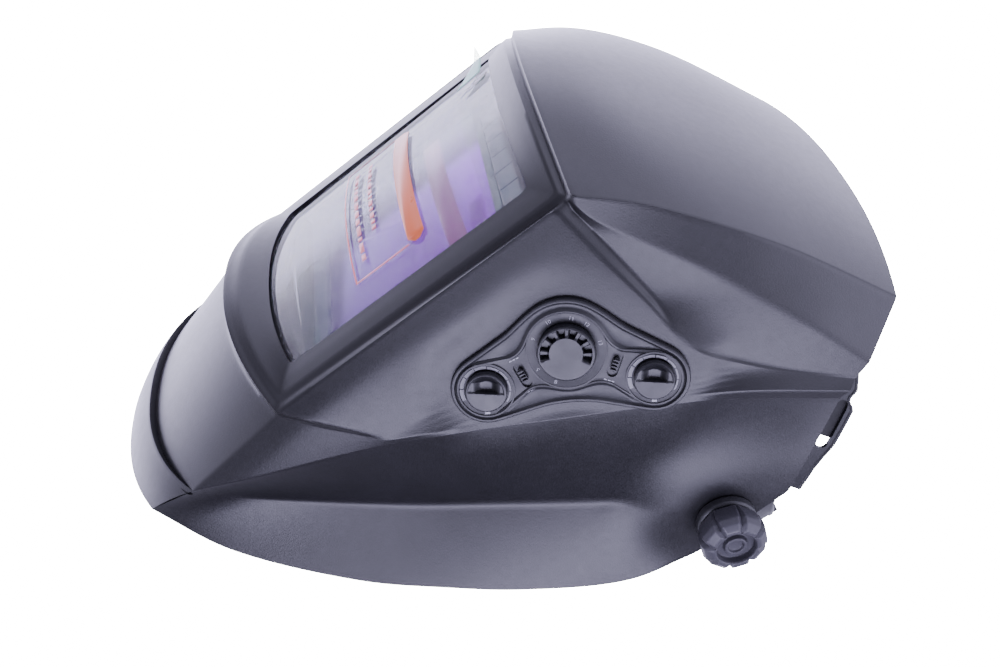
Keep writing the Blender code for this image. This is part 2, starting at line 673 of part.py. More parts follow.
def make_pivot_side(side, name, mats, carriage, shell):
    """Slider, bolt, stop plate, washers, stop block, collar and tension knob of one side."""
    axes = (Vector((0, 1, 0)), Vector((0, 0, 1)), Vector((side, 0, 0)))
    centre = (0, 0, 0)
    slider = box(f"pivot_slider_{name}", *side_box(side, (80.2, -15, -13), (97, 15, 13)), mats["plastic"], carriage)
    cheek = disc(f"guide_cheek_{name}", centre, axes, 17, 96.5, 100.6, pivot=carriage, count=20)
    pegs = [disc(f"guide_peg_{name}_{i}", centre, axes, 1.8, 78.2, 80.6, pivot=carriage, count=8, centre=place)
            for i, place in enumerate(((-5, 9.5), (5, 9.5), (-5, -9.5), (5, -9.5)))]
    join(slider, cheek, *pegs)
    cut(slider, disc(f"cutter_pocket_{name}", centre, axes, 8.6, 70, 96.2, pivot=carriage, count=16),
        disc(f"cutter_bolt_{name}", centre, axes, BOLT_RADIUS + 0.3, 70, 120, pivot=carriage, count=16))
    bolt = ((0, 89, 0), (7.0, 89, 0), (7.8, 90, 0), (7.8, 95.8, 0), (BOLT_RADIUS, 95.8, 0),
            (BOLT_RADIUS, BOLT_TIP - 1, 0), (3.2, BOLT_TIP, 0), (0, BOLT_TIP, 0))
    turned(f"pivot_bolt_{name}", bolt, centre, axes, mats["steel"], carriage, count=16)
    make_stop_plate(name, axes, mats, carriage)
    washer = ((4.4, 104.0, 0), (13, 104.0, 0), (13, 108.4, 0), (4.4, 108.4, 0))
    turned(f"friction_washer_{name}", washer, centre, axes, mats["rubber"], shell, count=20)
    make_stop_block(name, axes, mats, shell)
    low = PIVOT_FACE + GAP
    collar = ((4.4, low, 0), (11.6, low, 0), (12.6, low + 0.8, 0), (12.6, low + 3.2, 0),
              (10.6, low + 4.4, 0), (4.4, low + 4.4, 0))
    turned(f"knob_collar_{name}", collar, centre, axes, mats["plastic"], shell, count=20)
    base = low + 4.4 + GAP
    knob = ((4.3, base, 0), (12.6, base, 0), (13.4, base + 1.2, 0), (KNOB_RADIUS, base + 2.4, 1),
            (KNOB_RADIUS, base + 6, 1), (12.6, KNOB_TIP - 1, 1), (11.4, KNOB_TIP, 0.5), (8.8, KNOB_TIP, 0),
            (8.2, KNOB_TIP - 2.4, 0), (3.8, KNOB_TIP - 2.4, 0), (3.4, KNOB_TIP - 1, 0), (0, KNOB_TIP - 1, 0),
            (0, BOLT_TIP + 0.6, 0), (4.3, BOLT_TIP + 0.6, 0))
    joint = make_empty(f"tension_knob_axis_{name}", (side * PIVOT_FACE, 0, 0), carriage)
    turned(f"tension_knob_{name}", knob, centre, axes, mats["gloss"], joint, count=32, lobes=8, depth=1.8)


def side_box(side, low, high):
    """A box's corners, mirrored to the right side when side is -1."""
    if side > 0:
        return low, high
    return (-high[0], low[1], low[2]), (-low[0], high[1], high[2])


def sector(inner, outer, middle, half_angle, count=4):
    """Outline of a ring sector; angles in degrees."""
    outline = []
    for i in range(count + 1):
        angle = math.radians(middle - half_angle + 2 * half_angle * i / count)
        outline.append((outer * math.cos(angle), outer * math.sin(angle)))
    for i in range(count + 1):
        angle = math.radians(middle + half_angle - 2 * half_angle * i / count)
        outline.append((inner * math.cos(angle), inner * math.sin(angle)))
    return outline


def make_stop_plate(name, axes, mats, carriage):
    plate = disc(f"stop_plate_{name}", (0, 0, 0), axes, 16, 101, 103.6, mats["steel"], carriage, count=20)
    ears = []
    for i, angle in enumerate((STOP_REST + STOP_CLEAR, STOP_REST - STOP_SWING - STOP_CLEAR)):
        ears.append(prism(f"guide_ear_{name}_{i}", sector(13, 24, angle, 5), (0, 0, 0), axes, 101, 103.6,
                          pivot=carriage))
    join(plate, *ears)
    cut(plate, disc(f"cutter_plate_{name}", (0, 0, 0), axes, BOLT_RADIUS + 0.3, 90, 110, pivot=carriage, count=12))


def make_stop_block(name, axes, mats, shell):
    prism(f"stop_block_{name}", sector(19, 25, STOP_REST, 7), (0, 0, 0), axes, 101.2, 107.4, mats["plastic"], shell)


def band_point(angle, offset=0.0):
    """A point on the headband's oval; angle 0 is the brow, in degrees."""
    a = math.radians(angle)
    return Vector(((BAND_HALF_WIDTH + offset) * math.sin(a),
                   BAND_CENTRE_Y - (BAND_HALF_LENGTH + offset) * math.cos(a), 0))


def wall_along(name, path, heights, wall, mat):
    """An upright strip along a plan path; heights gives (bottom, top) at each point."""
    rings = []
    for i, point in enumerate(path):
        ahead = path[min(i + 1, len(path) - 1)] - path[max(i - 1, 0)]
        out = Vector((ahead.y, -ahead.x, 0)).normalized() * wall / 2
        low, high = heights[i]
        rings.append([Vector((point.x + out.x * k, point.y + out.y * k, z))
                      for k, z in ((1, low), (-1, low), (-1, high), (1, high))])
    return skin_rings(name, rings, mat, closed=False)


def arch_point(plan, angle, offset=0.0):
    """A point on a crown strap's arch and the direction away from the head there."""
    half, base, top, y_at_zero, slope = plan
    a = math.radians(angle)
    lift = offset * abs(math.cos(a))
    z = base + (top - base + lift) * abs(math.cos(a)) ** 1.1
    x = (half + lift) * math.copysign(abs(math.sin(a)) ** 0.62, a)
    sweep = CROWN_SWEEP[0] * smooth_share(z, CROWN_SWEEP[1], top)
    return Vector((x, y_at_zero - slope * z - sweep, z))


def arch_strap(name, plan, start, end, offset, half_width, mat, steps=16, wall=1.8):
    """A flat strap over the head, tilted forwards by the plan's slope."""
    slope = plan[4]
    across = Vector((0, 1, slope)).normalized() * half_width
    rings = []
    for i in range(steps + 1):
        angle = start + (end - start) * i / steps
        point = arch_point(plan, angle, offset)
        ahead = arch_point(plan, min(angle + 1, 90), offset) - arch_point(plan, max(angle - 1, -90), offset)
        out = across.cross(ahead).normalized() * wall / 2
        if out.dot(point - Vector((0, point.y, 0))) < 0:
            out = -out
        rings.append([point + across + out, point - across + out, point - across - out, point + across - out])
    return skin_rings(name, rings, mat, closed=False)


def make_crown_straps(mats):
    wide = CROWN_HALF_WIDTH
    left = arch_strap("crown_strap_left", CROWN_ARCH, CROWN_FOOT, -CROWN_LAP, 0.0, wide, mats["plastic"])
    right = arch_strap("crown_strap_right", CROWN_ARCH, -CROWN_FOOT, CROWN_LAP, 2.3, wide, mats["plastic"])
    up = Vector((0, -CROWN_ARCH[4], 1)).normalized()
    axes = plane_axes(up, Vector((0, 1, CROWN_ARCH[4])))
    top = arch_point(CROWN_ARCH, 0)
    holes = []
    for i, x in enumerate((-12.0, -6.0, 0.0, 6.0, 12.0)):
        holes.append(disc(f"cutter_size_hole_{i}", top + Vector((x, 0, 0)), axes, 2.0, -8, 8, count=12))
    cut(left, *holes)
    cut(right, disc("cutter_peg_hole", top, axes, 2.0, -8, 8, count=12))
    turned("crown_peg", ((0, -1.6, 0), (1.6, -1.6, 0), (1.6, 4.0, 0), (4.0, 4.2, 0), (3.4, 6.0, 0), (0, 6.4, 0)),
           top, axes, mats["gloss"], count=16)
    for side, name, strap in ((1, "left", left), (-1, "right", right)):
        tilt = Vector((0, -CROWN_ARCH[4], 1)).normalized()
        frame = (tilt, Vector((side, 0, 0)).cross(tilt), Vector((side, 0, 0)))
        place = Vector((0, CROWN_ARCH[3] - CROWN_ARCH[4] * VENT_HEIGHT, VENT_HEIGHT))
        place += Vector((0, 1, CROWN_ARCH[4])).normalized() * VENT_OFFSET
        cut(strap, prism(f"cutter_vent_{name}", slot_outline(*VENT_SLOT), place, frame, 30, 90))


def slot_outline(half, radius, count=6):
    """A slot with round ends, long in its first direction."""
    outline = []
    for i in range(count + 1):
        angle = -math.pi / 2 + math.pi * i / count
        outline.append((half - radius + radius * math.cos(angle), radius * math.sin(angle)))
    for i in range(count + 1):
        angle = math.pi / 2 + math.pi * i / count
        outline.append((radius - half + radius * math.cos(angle), radius * math.sin(angle)))
    return outline


def make_headband(mats):
    angles = [-BAND_REACH + 2 * BAND_REACH * i / 28 for i in range(29)]
    path = [band_point(a) for a in angles]
    band = wall_along("headband", path, [(BAND_BOTTOM, BAND_TOP)] * 29, BAND_WALL, mats["plastic"])
    pad_angles = [-PAD_REACH + 2 * PAD_REACH * i / 16 for i in range(17)]
    inward = BAND_WALL / 2 + GAP + PAD_THICKNESS / 2
    pad_path = [band_point(a, -inward) for a in pad_angles]
    wall_along("sweatband", pad_path, [(BAND_BOTTOM - 3, BAND_TOP + 3)] * 17, PAD_THICKNESS, mats["foam"])
    for side, name in ((1, "left"), (-1, "right")):
        path = [Vector((side * x, y, 0)) for x, y in REAR_PATH]
        heights = [(BAND_BOTTOM + drop, BAND_TOP + drop) for drop in REAR_DROPS]
        wall_along(f"rear_band_{name}", path, heights, BAND_WALL, mats["plastic"])
    rivet_holes = []
    for side, name in ((1, "left"), (-1, "right")):
        rivet_holes += make_rail(side, name, mats)
    cut(band, *rivet_holes)


def make_rail(side, name, mats):
    """The slotted plate that a pivot slider runs on, and its two rivets."""
    axes = (Vector((0, 1, 0)), Vector((0, 0, 1)), Vector((side, 0, 0)))
    rail = box(f"slide_rail_{name}", *side_box(side, (77.6, RAIL_FRONT, -15), (79.7, RAIL_REAR, 15)), mats["plastic"])
    half = 5.0 + 1.8 + CARRIAGE_TRAVEL + GAP
    cutters = []
    for i, z in enumerate((9.5, -9.5)):
        cutters.append(prism(f"cutter_rail_{name}_{i}", slot_outline(half, 2.2), (0, 0, z), axes, 70, 90))
    holes = []
    for i, y in enumerate(RIVET_PLACES):
        shank = ((0, 66.5, 0), (3.0, 66.5, 0), (3.0, 68, 0), (1.6, 68, 0), (1.6, 79.7, 0), (0, 79.7, 0))
        turned(f"rail_rivet_{name}_{i + 1}", shank, (0, y, 2), axes, mats["steel"], count=12)
        holes.append(disc(f"cutter_rivet_{name}_{i}", (0, y, 2), axes, 2.0, 60, 90, count=12))
    cut(rail, *cutters, *holes)
    return holes


def involute_flank(base, pitch, tip, half_tooth, count=2):
    """Half-width angles of a pinion tooth from its base circle to its tip."""
    def roll(radius):
        ratio = math.sqrt(max((radius / base) ** 2 - 1, 0.0))
        return ratio - math.atan(ratio)
    points = []
    for i in range(count + 1):
        radius = base + (tip - base) * i / count
        points.append((radius, half_tooth + roll(pitch) - roll(radius)))
    return points


def pinion_outline():
    module = 2 * PINION_PITCH_RADIUS / PINION_TEETH
    tip = PINION_PITCH_RADIUS + TOOTH_ADDENDUM * module
    root = PINION_PITCH_RADIUS - TOOTH_DEDENDUM * module
    base = PINION_PITCH_RADIUS * math.cos(PRESSURE_ANGLE)
    half_tooth = math.pi / (2 * PINION_TEETH) - TOOTH_BACKLASH / (4 * PINION_PITCH_RADIUS)
    flank = involute_flank(base, PINION_PITCH_RADIUS, tip, half_tooth)
    outline = []
    for tooth in range(PINION_TEETH):
        middle = 2 * math.pi * tooth / PINION_TEETH
        left = [(root, flank[0][1])] + flank
        outline += [(r * math.cos(middle - w), r * math.sin(middle - w)) for r, w in left]
        outline += [(r * math.cos(middle + w), r * math.sin(middle + w)) for r, w in reversed(left)]
    return outline


def rack_outline(length, height):
    """A rack along +a with teeth towards -b; its pitch line is at b = 0, a gap centred on a = 0."""
    module = 2 * PINION_PITCH_RADIUS / PINION_TEETH
    step = math.pi * module
    slant = math.tan(PRESSURE_ANGLE)
    half_tooth = step / 4 - TOOTH_BACKLASH / 4
    tip = TOOTH_ADDENDUM * module
    root = TOOTH_DEDENDUM * module
    outline = []
    count = int(length[1] / step)
    first = -int(-length[0] / step)
    for i in range(first, count):
        middle = (i + 0.5) * step
        outline += [(middle - half_tooth - slant * root, root), (middle - half_tooth + slant * tip, -tip),
                    (middle + half_tooth - slant * tip, -tip), (middle + half_tooth + slant * root, root)]
    return [(length[0], height), (length[0], root)] + outline + [(length[1], root), (length[1], height)]


def make_ratchet(mats):
    """Housing, cover, knob with its pinion, and the two racks."""
    y = RATCHET_CENTRE.y
    z = RATCHET_CENTRE.z
    housing = box("ratchet_housing", (-31, y - 6, z - 17), (31, y + 1.6, z + 17), mats["plastic"])
    cut(housing, box("cutter_channel", (-40, y - 1.4, z - 14.4), (40, y + 4, z + 14.4)))
    axes = plane_axes((0, 1, 0))
    place = Vector((0, y, z))
    cover = box("ratchet_cover", (-31, y + 2, z - 17), (31, y + 5, z + 17), mats["plastic"])
    cut(cover, disc("cutter_cover_hole", place, axes, 3.8, -5, 10, count=20))
    joint = make_empty("ratchet_axis", place)
    knob = ((0, -1.1, 0), (3.2, -1.1, 0), (3.2, 9, 0), (12, 9, 0), (12, 5.6, 0), (15.4, 5.6, 0), (16, 7, 1),
            (16, 14, 1), (14.4, 16, 0.5), (0, 16, 0))
    turned("ratchet_knob", knob, place, axes, mats["gloss"], joint, count=36, lobes=12, depth=1.6)
    turned("detent_spring", ((5.0, 5.4, 0), (10.5, 5.4, 0), (10.5, 8.4, 0), (5.0, 8.4, 0)), place, axes,
           mats["steel"], count=24)
    pinion = prism("ratchet_pinion", pinion_outline(), place, axes, -RACK_THICKNESS / 2, RACK_THICKNESS / 2,
                   mats["plastic"], joint)
    cut(pinion, disc("cutter_pinion", place, axes, 3.5, -6, 6, count=20, pivot=joint))
    for side, name in ((1, "left"), (-1, "right")):
        frame = (Vector((side, 0, 0)), Vector((0, 0, side)), Vector((0, 1, 0)))
        pitch = place + Vector((0, 0, side * PINION_PITCH_RADIUS))
        prism(f"size_rack_{name}", rack_outline(RACK_REACH, 7.0), pitch, frame,
              -RACK_THICKNESS / 2, RACK_THICKNESS / 2, mats["plastic"], make_empty(f"rack_slide_{name}", pitch))
    pad_path = [Vector((x, y - 10.2 - 0.0009 * x * x, 0)) for x in (-34, -17, 0, 17, 34)]
    wall_along("nape_pad", pad_path, [(z - 18, z + 18)] * 5, 6.5, mats["foam"])


def make_materials():
    return {
        "shell": make_material("shell_nylon", (0.035, 0.035, 0.042), 0.42),
        "plastic": make_material("black_plastic", (0.025, 0.025, 0.028), 0.5),
        "gloss": make_material("knob_plastic", (0.02, 0.02, 0.024), 0.32),
        "rubber": make_material("rubber", (0.03, 0.03, 0.03), 0.8),
        "case": make_material("cartridge_plastic", (0.02, 0.022, 0.028), 0.4),
        "clear": make_material("clear_lens", (0.55, 0.75, 0.8), 0.05),
        "filter": make_material("filter_glass", (0.25, 0.15, 0.5), 0.08),
        "solar": make_material("solar_cell", (0.02, 0.05, 0.09), 0.15),
        "sensor": make_material("sensor_dome", (0.08, 0.02, 0.03), 0.2),
        "board": make_material("circuit_board", (0.02, 0.16, 0.06), 0.5),
        "ribbon": make_material("ribbon_cable", (0.5, 0.5, 0.52), 0.6),
        "foam": make_material("foam", (0.05, 0.05, 0.055), 0.95),
        "steel": make_material("steel", (0.6, 0.6, 0.62), 0.35, 1.0),
    }


def main():
    clear_scene()
    mats = make_materials()
    carriage = make_empty("pivot_carriage", (0, 0, 0))
    shell = make_empty("shell_axis", (0, 0, 0), carriage)
    make_shell(mats["shell"], shell)
    make_lens_stack(mats, shell)
    make_controls(mats, shell)
    for side, name in ((1, "left"), (-1, "right")):
        make_pivot_side(side, name, mats, carriage, shell)
    make_headband(mats)
    make_crown_straps(mats)
    make_ratchet(mats)


main()
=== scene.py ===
import json
import math
import random

import bmesh
import bpy
from mathutils import Matrix, Vector
from mathutils.kdtree import KDTree


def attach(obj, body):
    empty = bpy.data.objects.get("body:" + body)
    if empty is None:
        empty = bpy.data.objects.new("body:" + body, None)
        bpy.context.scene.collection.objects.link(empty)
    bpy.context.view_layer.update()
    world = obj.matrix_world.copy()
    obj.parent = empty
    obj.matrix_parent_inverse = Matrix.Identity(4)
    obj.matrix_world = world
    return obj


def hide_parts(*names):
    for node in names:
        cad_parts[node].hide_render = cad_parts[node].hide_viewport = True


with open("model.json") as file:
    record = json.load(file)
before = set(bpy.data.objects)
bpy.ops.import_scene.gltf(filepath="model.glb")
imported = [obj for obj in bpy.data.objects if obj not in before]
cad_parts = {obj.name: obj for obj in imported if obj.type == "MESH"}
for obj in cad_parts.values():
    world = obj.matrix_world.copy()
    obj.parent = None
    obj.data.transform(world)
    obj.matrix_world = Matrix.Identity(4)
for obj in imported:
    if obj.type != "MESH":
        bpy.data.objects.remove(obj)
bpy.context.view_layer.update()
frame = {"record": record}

MM = 0.001
SEED = 7

# Shell feature lines of the left half: (share of the line, x, y, z) in millimetres.
RIDGE = ((0, 77, -148.5, 35.3), (0.15, 82, -132.7, 53), (0.29, 86, -115.6, 66.2),
         (0.46, 88, -93.9, 79.4), (0.61, 88, -74.2, 89.3), (1, 88, -29.5, 107.7))
BROW_LINE = ((0, 77.5, -145.8, 34.2), (0.08, 80.3, -136.5, 36.3), (0.34, 92, -101.9, 55.6),
             (0.72, 100, -56.8, 74.9), (1, 104, -23.2, 85.3))
STEP_FOOT = ((0, 75.6, -144.1, 31.9), (0.2, 83.4, -122.6, 34.4), (0.4, 92.2, -98.1, 35.9),
             (0.56, 100.2, -78, 36.8), (0.78, 104, -50, 54), (1, 105.6, -22, 78.5))
STEP_EDGE = ((0, 77.1, -148.4, 28.1), (0.2, 85.1, -125.4, 30.2), (0.4, 93.9, -100.4, 33.9),
             (0.56, 101.1, -79, 35.2), (0.78, 104.6, -50.8, 52.8), (1, 106, -21.6, 76.8))
CHEEK_LINE = ((0, 72, -139, -170.4), (0.11, 80.3, -132, -141.5), (0.325, 90.8, -115.6, -87.5),
              (0.51, 98.4, -94.2, -43.2), (0.68, 105, -73.4, -2), (0.82, 108.5, -53.8, 32),
              (1, 108.6, -19.8, 68))
JAW_LINE = ((0, 72, -139, -170.4), (0.1, 73.2, -119.2, -154.4), (0.36, 85.2, -79.2, -104.2),
            (0.525, 91.8, -56.1, -71.7), (0.72, 99.5, -28.3, -31.3), (0.94, 108.5, -0.7, 15.1),
            (1, 112, 6.6, 27.5))
HEM_LINE = ((0, 62.9, -138.4, -196.8), (0.16, 79.5, -108, -178.5), (0.39, 97.5, -69.3, -140.7),
            (0.55, 106, -45.2, -111), (0.67, 110.3, -26.8, -88.6), (0.85, 113.5, -1.9, -53.1),
            (1, 114, 9.5, -19.2))
MASK_TIP = 0.325
MASK_RISE = (58.0, 5.0)
MASK_LEAN = (6.0 / MASK_RISE[0], -10.3 / MASK_RISE[0], 1.0)
MASK_STEP = (-2.5, 2.8, -2.1)
MASK_SEAM = 1.6
# Arcs across the front: half width, y at the side, bulge forward, z at the side, rise at the middle.
CROWN_RIM = (77, -148.5, 17.5, 35.3, 4.7)
CHIN_LIP = (78, -149.3, 23.7, -112.4, -10.6)
CHIN_RECESS = (75.5, -146.5, 21.5, -114.5, -11.5)
FLANGE_TOP = (72, -139, 12, -170.4, -17.1)
FLANGE_LEDGE = (-3.0, -1.4)
FLANGE_HEM = (62.9, -138.4, 7.6, -196.8, -13.2)
WINDOW_RINGS = (((74.5, -147.2, 16.0, 33.0, 4.2), (74.5, -150.0, 21.5, -110.5, -9.6)),
                ((72.5, -149.6, 15.5, 31.0, 3.6), (72.5, -151.2, 19.0, -108.2, -8.2)),
                ((66.0, -151.2, 12.0, 26.0, 2.5), (66.0, -152.6, 13.0, -104.8, -6.6)),
                ((60.0, -152.5, 8.5, 21.0, 1.5), (60.0, -153.5, 8.0, -101.0, -5.5)))
CROWN_RISE_REAR = 10.0
SHELL_WALL = 2.5
ACROSS = tuple(1 - (1 - i / 14) ** 1.35 for i in range(15))
STATIONS = tuple(i / 34 for i in range(35))
WINDOW_ROWS = 18
SUBDIVISIONS = 2
# Falloffs of the arcs across the front: bulge, and rise.
ARC_POWERS = (2.2, 2.4)
WINDOW_HALF = 60.0
LENS_SINK = 0.5

# Control module: dial centres and sizes in the facet's own plane (rearward, up).
FACET_ORIGIN = Vector((92.4, -104.6, -2.2))
FACET_SLOPE = 0.35
FACET_NORMAL = Vector((1, -FACET_SLOPE, 0)).normalized()
FACET_AXES = (Vector((FACET_SLOPE, 1, 0)).normalized(), Vector((0, 0, 1)), FACET_NORMAL)
DIAL_CENTRES = {"shade": (0.5, -0.5), "sensitivity": (-4.8, -35.6), "delay": (29.7, 19.8)}
DIAL_RADII = {"shade": 11.3, "sensitivity": 8.3, "delay": 8.0}
MODULE_RADII = {"shade": 19.5, "sensitivity": 14.2, "delay": 14.0}
SWITCH_CENTRES = {"mode": (-1.4, -20.2), "range": (16.1, 11.2)}
PIVOT_FACE = 111.5
# Distances over which the flat seats blend into the shell: from the module's edge, and from the pivot.
CONTROLS_FADE = (3.0, 15.0)
PIVOT_FADE = (20.0, 46.0)

# The camera, as a world matrix in metres.
CAMERA = ((0.12952, -0.58921, 0.79753, 0.46994), (0.61018, -0.58663, -0.53249, -0.37964),
          (0.78161, 0.5556, 0.28355, 0.11712), (0, 0, 0, 1))
# Direction from a dial's centre to the top of its scale.
DIAL_UP = Vector((0.0, -0.7885, 0.616))
FLOOR_Z = -0.2105


# ---------------------------------------------------------------- curves
def line_at(line, t):
    """A smooth curve through (share, x, y, z) points, read at share t."""
    t = min(max(t, 0.0), 1.0)
    i = max(k for k in range(len(line) - 1) if line[k][0] <= t + 1e-9)

    def slope(k):
        low = line[max(k - 1, 0)]
        high = line[min(k + 1, len(line) - 1)]
        return (Vector(high[1:]) - Vector(low[1:])) / (high[0] - low[0])

    span = line[i + 1][0] - line[i][0]
    u = (t - line[i][0]) / span
    start = Vector(line[i][1:])
    end = Vector(line[i + 1][1:])
    return (start * (2 * u ** 3 - 3 * u ** 2 + 1) + end * (3 * u ** 2 - 2 * u ** 3)
            + slope(i) * span * (u ** 3 - 2 * u ** 2 + u) + slope(i + 1) * span * (u ** 3 - u ** 2))


def arc_at(arc, s):
    half, side_y, bulge, side_z, rise = arc
    out, up = (1 - s ** power for power in ARC_POWERS)
    return Vector((half * s, side_y - bulge * out, side_z + rise * up))


def smooth_share(value, low, high):
    u = min(max((value - low) / (high - low), 0.0), 1.0)
    return u * u * (3 - 2 * u)


def tapered_capsule(p, a, ra, b, rb):
    """Distance from p to the outline of two circles joined by their tangents."""
    ba = Vector(b) - Vector(a)
    pa = Vector(p) - Vector(a)
    length2 = ba.length_squared
    rr = ra - rb
    a2 = length2 - rr * rr
    y = pa.dot(ba)
    z = y - length2
    x2 = (pa * length2 - ba * y).length_squared
    k = math.copysign(1, rr) * rr * rr * x2
    if math.copysign(1, z) * a2 * z * z * length2 > k:
        return math.sqrt(x2 + z * z * length2) / length2 - rb
    if math.copysign(1, y) * a2 * y * y * length2 < k:
        return math.sqrt(x2 + y * y * length2) / length2 - ra
    return (math.sqrt(x2 * a2 / length2) + y * rr) / length2 - ra


def soft_min(a, b, blend):
    h = max(blend - abs(a - b), 0.0) / blend
    return min(a, b) - h * h * blend / 4


def module_distance(p):
    """Distance from p, in the facet's plane, to the control module's outline."""
    centre = DIAL_CENTRES["shade"]
    arms = []
    for name in ("sensitivity", "delay"):
        arms.append(tapered_capsule(p, centre, MODULE_RADII["shade"], DIAL_CENTRES[name], MODULE_RADII[name]))
    return soft_min(*arms, 7.0)


def facet_place(a, b, d):
    return FACET_ORIGIN + FACET_AXES[0] * a + FACET_AXES[1] * b + FACET_AXES[2] * d


def facet_flat(p):
    offset = p - FACET_ORIGIN
    return offset.dot(FACET_AXES[0]), offset.dot(FACET_AXES[1])


def seat_controls(p):
    distance = module_distance(facet_flat(p))
    weight = 1 - smooth_share(distance, *CONTROLS_FADE)
    return p - FACET_NORMAL * ((p - FACET_ORIGIN).dot(FACET_NORMAL) * weight)


def seat_pivot(p):
    weight = 1 - smooth_share(math.hypot(p.y, p.z), *PIVOT_FADE)
    return Vector((p.x + (PIVOT_FACE - p.x) * weight, p.y, p.z))


def lens_curve(x):
    half, side_y, bulge = WINDOW_RINGS[-1][0][:3]
    return side_y - LENS_SINK - bulge * (1 - (x / half) ** 2)


# ---------------------------------------------------------------- meshes
def linked(name, data):
    obj = bpy.data.objects.new(name, data)
    bpy.context.collection.objects.link(obj)
    return obj


def ride(obj, body, slot=None, *nodes):
    """Puts a finished piece on its body and hides the CAD nodes it stands for."""
    if nodes:
        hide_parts(*nodes)
    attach(obj, body)
    return obj


def shaded(obj, angle):
    """Shades the object smooth and keeps edges above the angle, in degrees, sharp."""
    obj.data.shade_smooth()
    obj.data.set_sharp_from_angle(angle=math.radians(angle))
    return obj


def finish_mesh(name, bm, mat, smooth=30):
    """Makes an object from a bmesh in millimetres."""
    bmesh.ops.scale(bm, vec=(MM, MM, MM), verts=bm.verts)
    bmesh.ops.recalc_face_normals(bm, faces=bm.faces)
    mesh = bpy.data.meshes.new(name)
    bm.to_mesh(mesh)
    bm.free()
    mesh.materials.append(mat)
    mesh.shade_smooth()
    if smooth < 180:
        mesh.set_sharp_from_angle(angle=math.radians(smooth))
    return linked(name, mesh)


def bake(obj):
    """Applies the object's modifiers to its mesh."""
    depsgraph = bpy.context.evaluated_depsgraph_get()
    mesh = bpy.data.meshes.new_from_object(obj.evaluated_get(depsgraph))
    obj.modifiers.clear()
    obj.data = mesh
    return obj


def add_mod(obj, kind, **values):
    mod = obj.modifiers.new(kind.lower(), kind)
    for key, value in values.items():
        setattr(mod, key, value)
    return mod


def rounded(obj, width, segments=3):
    """Rounds the sharp edges; width in millimetres."""
    add_mod(obj, "BEVEL", width=width * MM, segments=segments, limit_method="ANGLE",
            angle_limit=math.radians(30), harden_normals=False)
    return shaded(bake(obj), 40)


def side_axes(side):
    """Rearward, up and out of the left (1) or right (-1) side."""
    return Vector((0, 1, 0)), Vector((0, 0, 1)), Vector((side, 0, 0))


def placed(origin, axes, a, b, d):
    return Vector(origin) + axes[0] * a + axes[1] * b + axes[2] * d


def prism_mesh(bm, outline, origin, axes, low, high):
    bottom = [bm.verts.new(placed(origin, axes, a, b, low)) for a, b in outline]
    top = [bm.verts.new(placed(origin, axes, a, b, high)) for a, b in outline]
    count = len(outline)
    bm.faces.new(bottom[::-1])
    bm.faces.new(top)
    for i in range(count):
        j = (i + 1) % count
        bm.faces.new((bottom[i], bottom[j], top[j], top[i]))


def prism(name, outline, origin, axes, low, high, mat):
    bm = bmesh.new()
    prism_mesh(bm, outline, origin, axes, low, high)
    return finish_mesh(name, bm, mat)


def grid_faces(bm, rows):
    """Joins equally long rows of vertices with quads."""
    for above, below in zip(rows, rows[1:]):
        for i in range(len(above) - 1):
            bm.faces.new((above[i], above[i + 1], below[i + 1], below[i]))


def ring_mesh(bm, rings, closed=True, capped=False):
    """Joins rings of points into a skin; closed also joins the last ring to the first."""
    made = [[bm.verts.new(p) for p in ring] for ring in rings]
    count = len(rings[0])
    pairs = list(zip(made, made[1:]))
    if closed:
        pairs.append((made[-1], made[0]))
    for here, there in pairs:
        for i in range(count):
            j = (i + 1) % count
            bm.faces.new((here[i], here[j], there[j], there[i]))
    if capped:
        bm.faces.new(made[0][::-1])
        bm.faces.new(made[-1])
    return made


def lofted(name, rings, mat, smooth=40):
    """An open skin through the rings, capped at both ends."""
    bm = bmesh.new()
    ring_mesh(bm, rings, closed=False, capped=True)
    return finish_mesh(name, bm, mat, smooth)


def circle_loop(radius, count):
    angles = (2 * math.pi * i / count for i in range(count))
    return [(radius * math.cos(a), radius * math.sin(a)) for a in angles]


def turned(name, profile, origin, axes, mat, count=96, smooth=35, shape=None):
    """A turned piece; profile is (radius, height) points, from axis to axis or closed round the axis.

    shape(angle, k, radius, height) may change a point's radius and height.
    """
    bm = bmesh.new()
    loops = []
    for k, (radius, height) in enumerate(profile):
        loop = []
        for i in range(count if radius > 0 else 1):
            angle = 2 * math.pi * i / count
            r, h = shape(angle, k, radius, height) if shape else (radius, height)
            loop.append(bm.verts.new(placed(origin, axes, r * math.cos(angle), r * math.sin(angle), h)))
        loops.append(loop)
    pairs = list(zip(loops, loops[1:]))
    if profile[0][0] > 0 and profile[-1][0] > 0:
        pairs.append((loops[-1], loops[0]))
    for here, there in pairs:
        for i in range(count):
            j = (i + 1) % count
            a, b = here[i % len(here)], here[j % len(here)]
            c, d = there[j % len(there)], there[i % len(there)]
            corners = list(dict.fromkeys((a, b, c, d)))
            if len(corners) > 2:
                bm.faces.new(corners)
    return finish_mesh(name, bm, mat, smooth)


def rounded_profile(points, radius):
    """Rounds a profile's inner corners by the radius, keeping both ends."""
    out = [points[0]]
    for i in range(1, len(points) - 1):
        p, a, b = Vector(points[i]), Vector(points[i - 1]), Vector(points[i + 1])
        reach = min(radius, (p - a).length * 0.45, (p - b).length * 0.45)
        start = p + (a - p).normalized() * reach
        end = p + (b - p).normalized() * reach
        for k in range(4):
            u = k / 3
            q = start * (1 - u) ** 2 + p * 2 * u * (1 - u) + end * u * u
            out.append((q.x, q.y))
    out.append(points[-1])
    return out


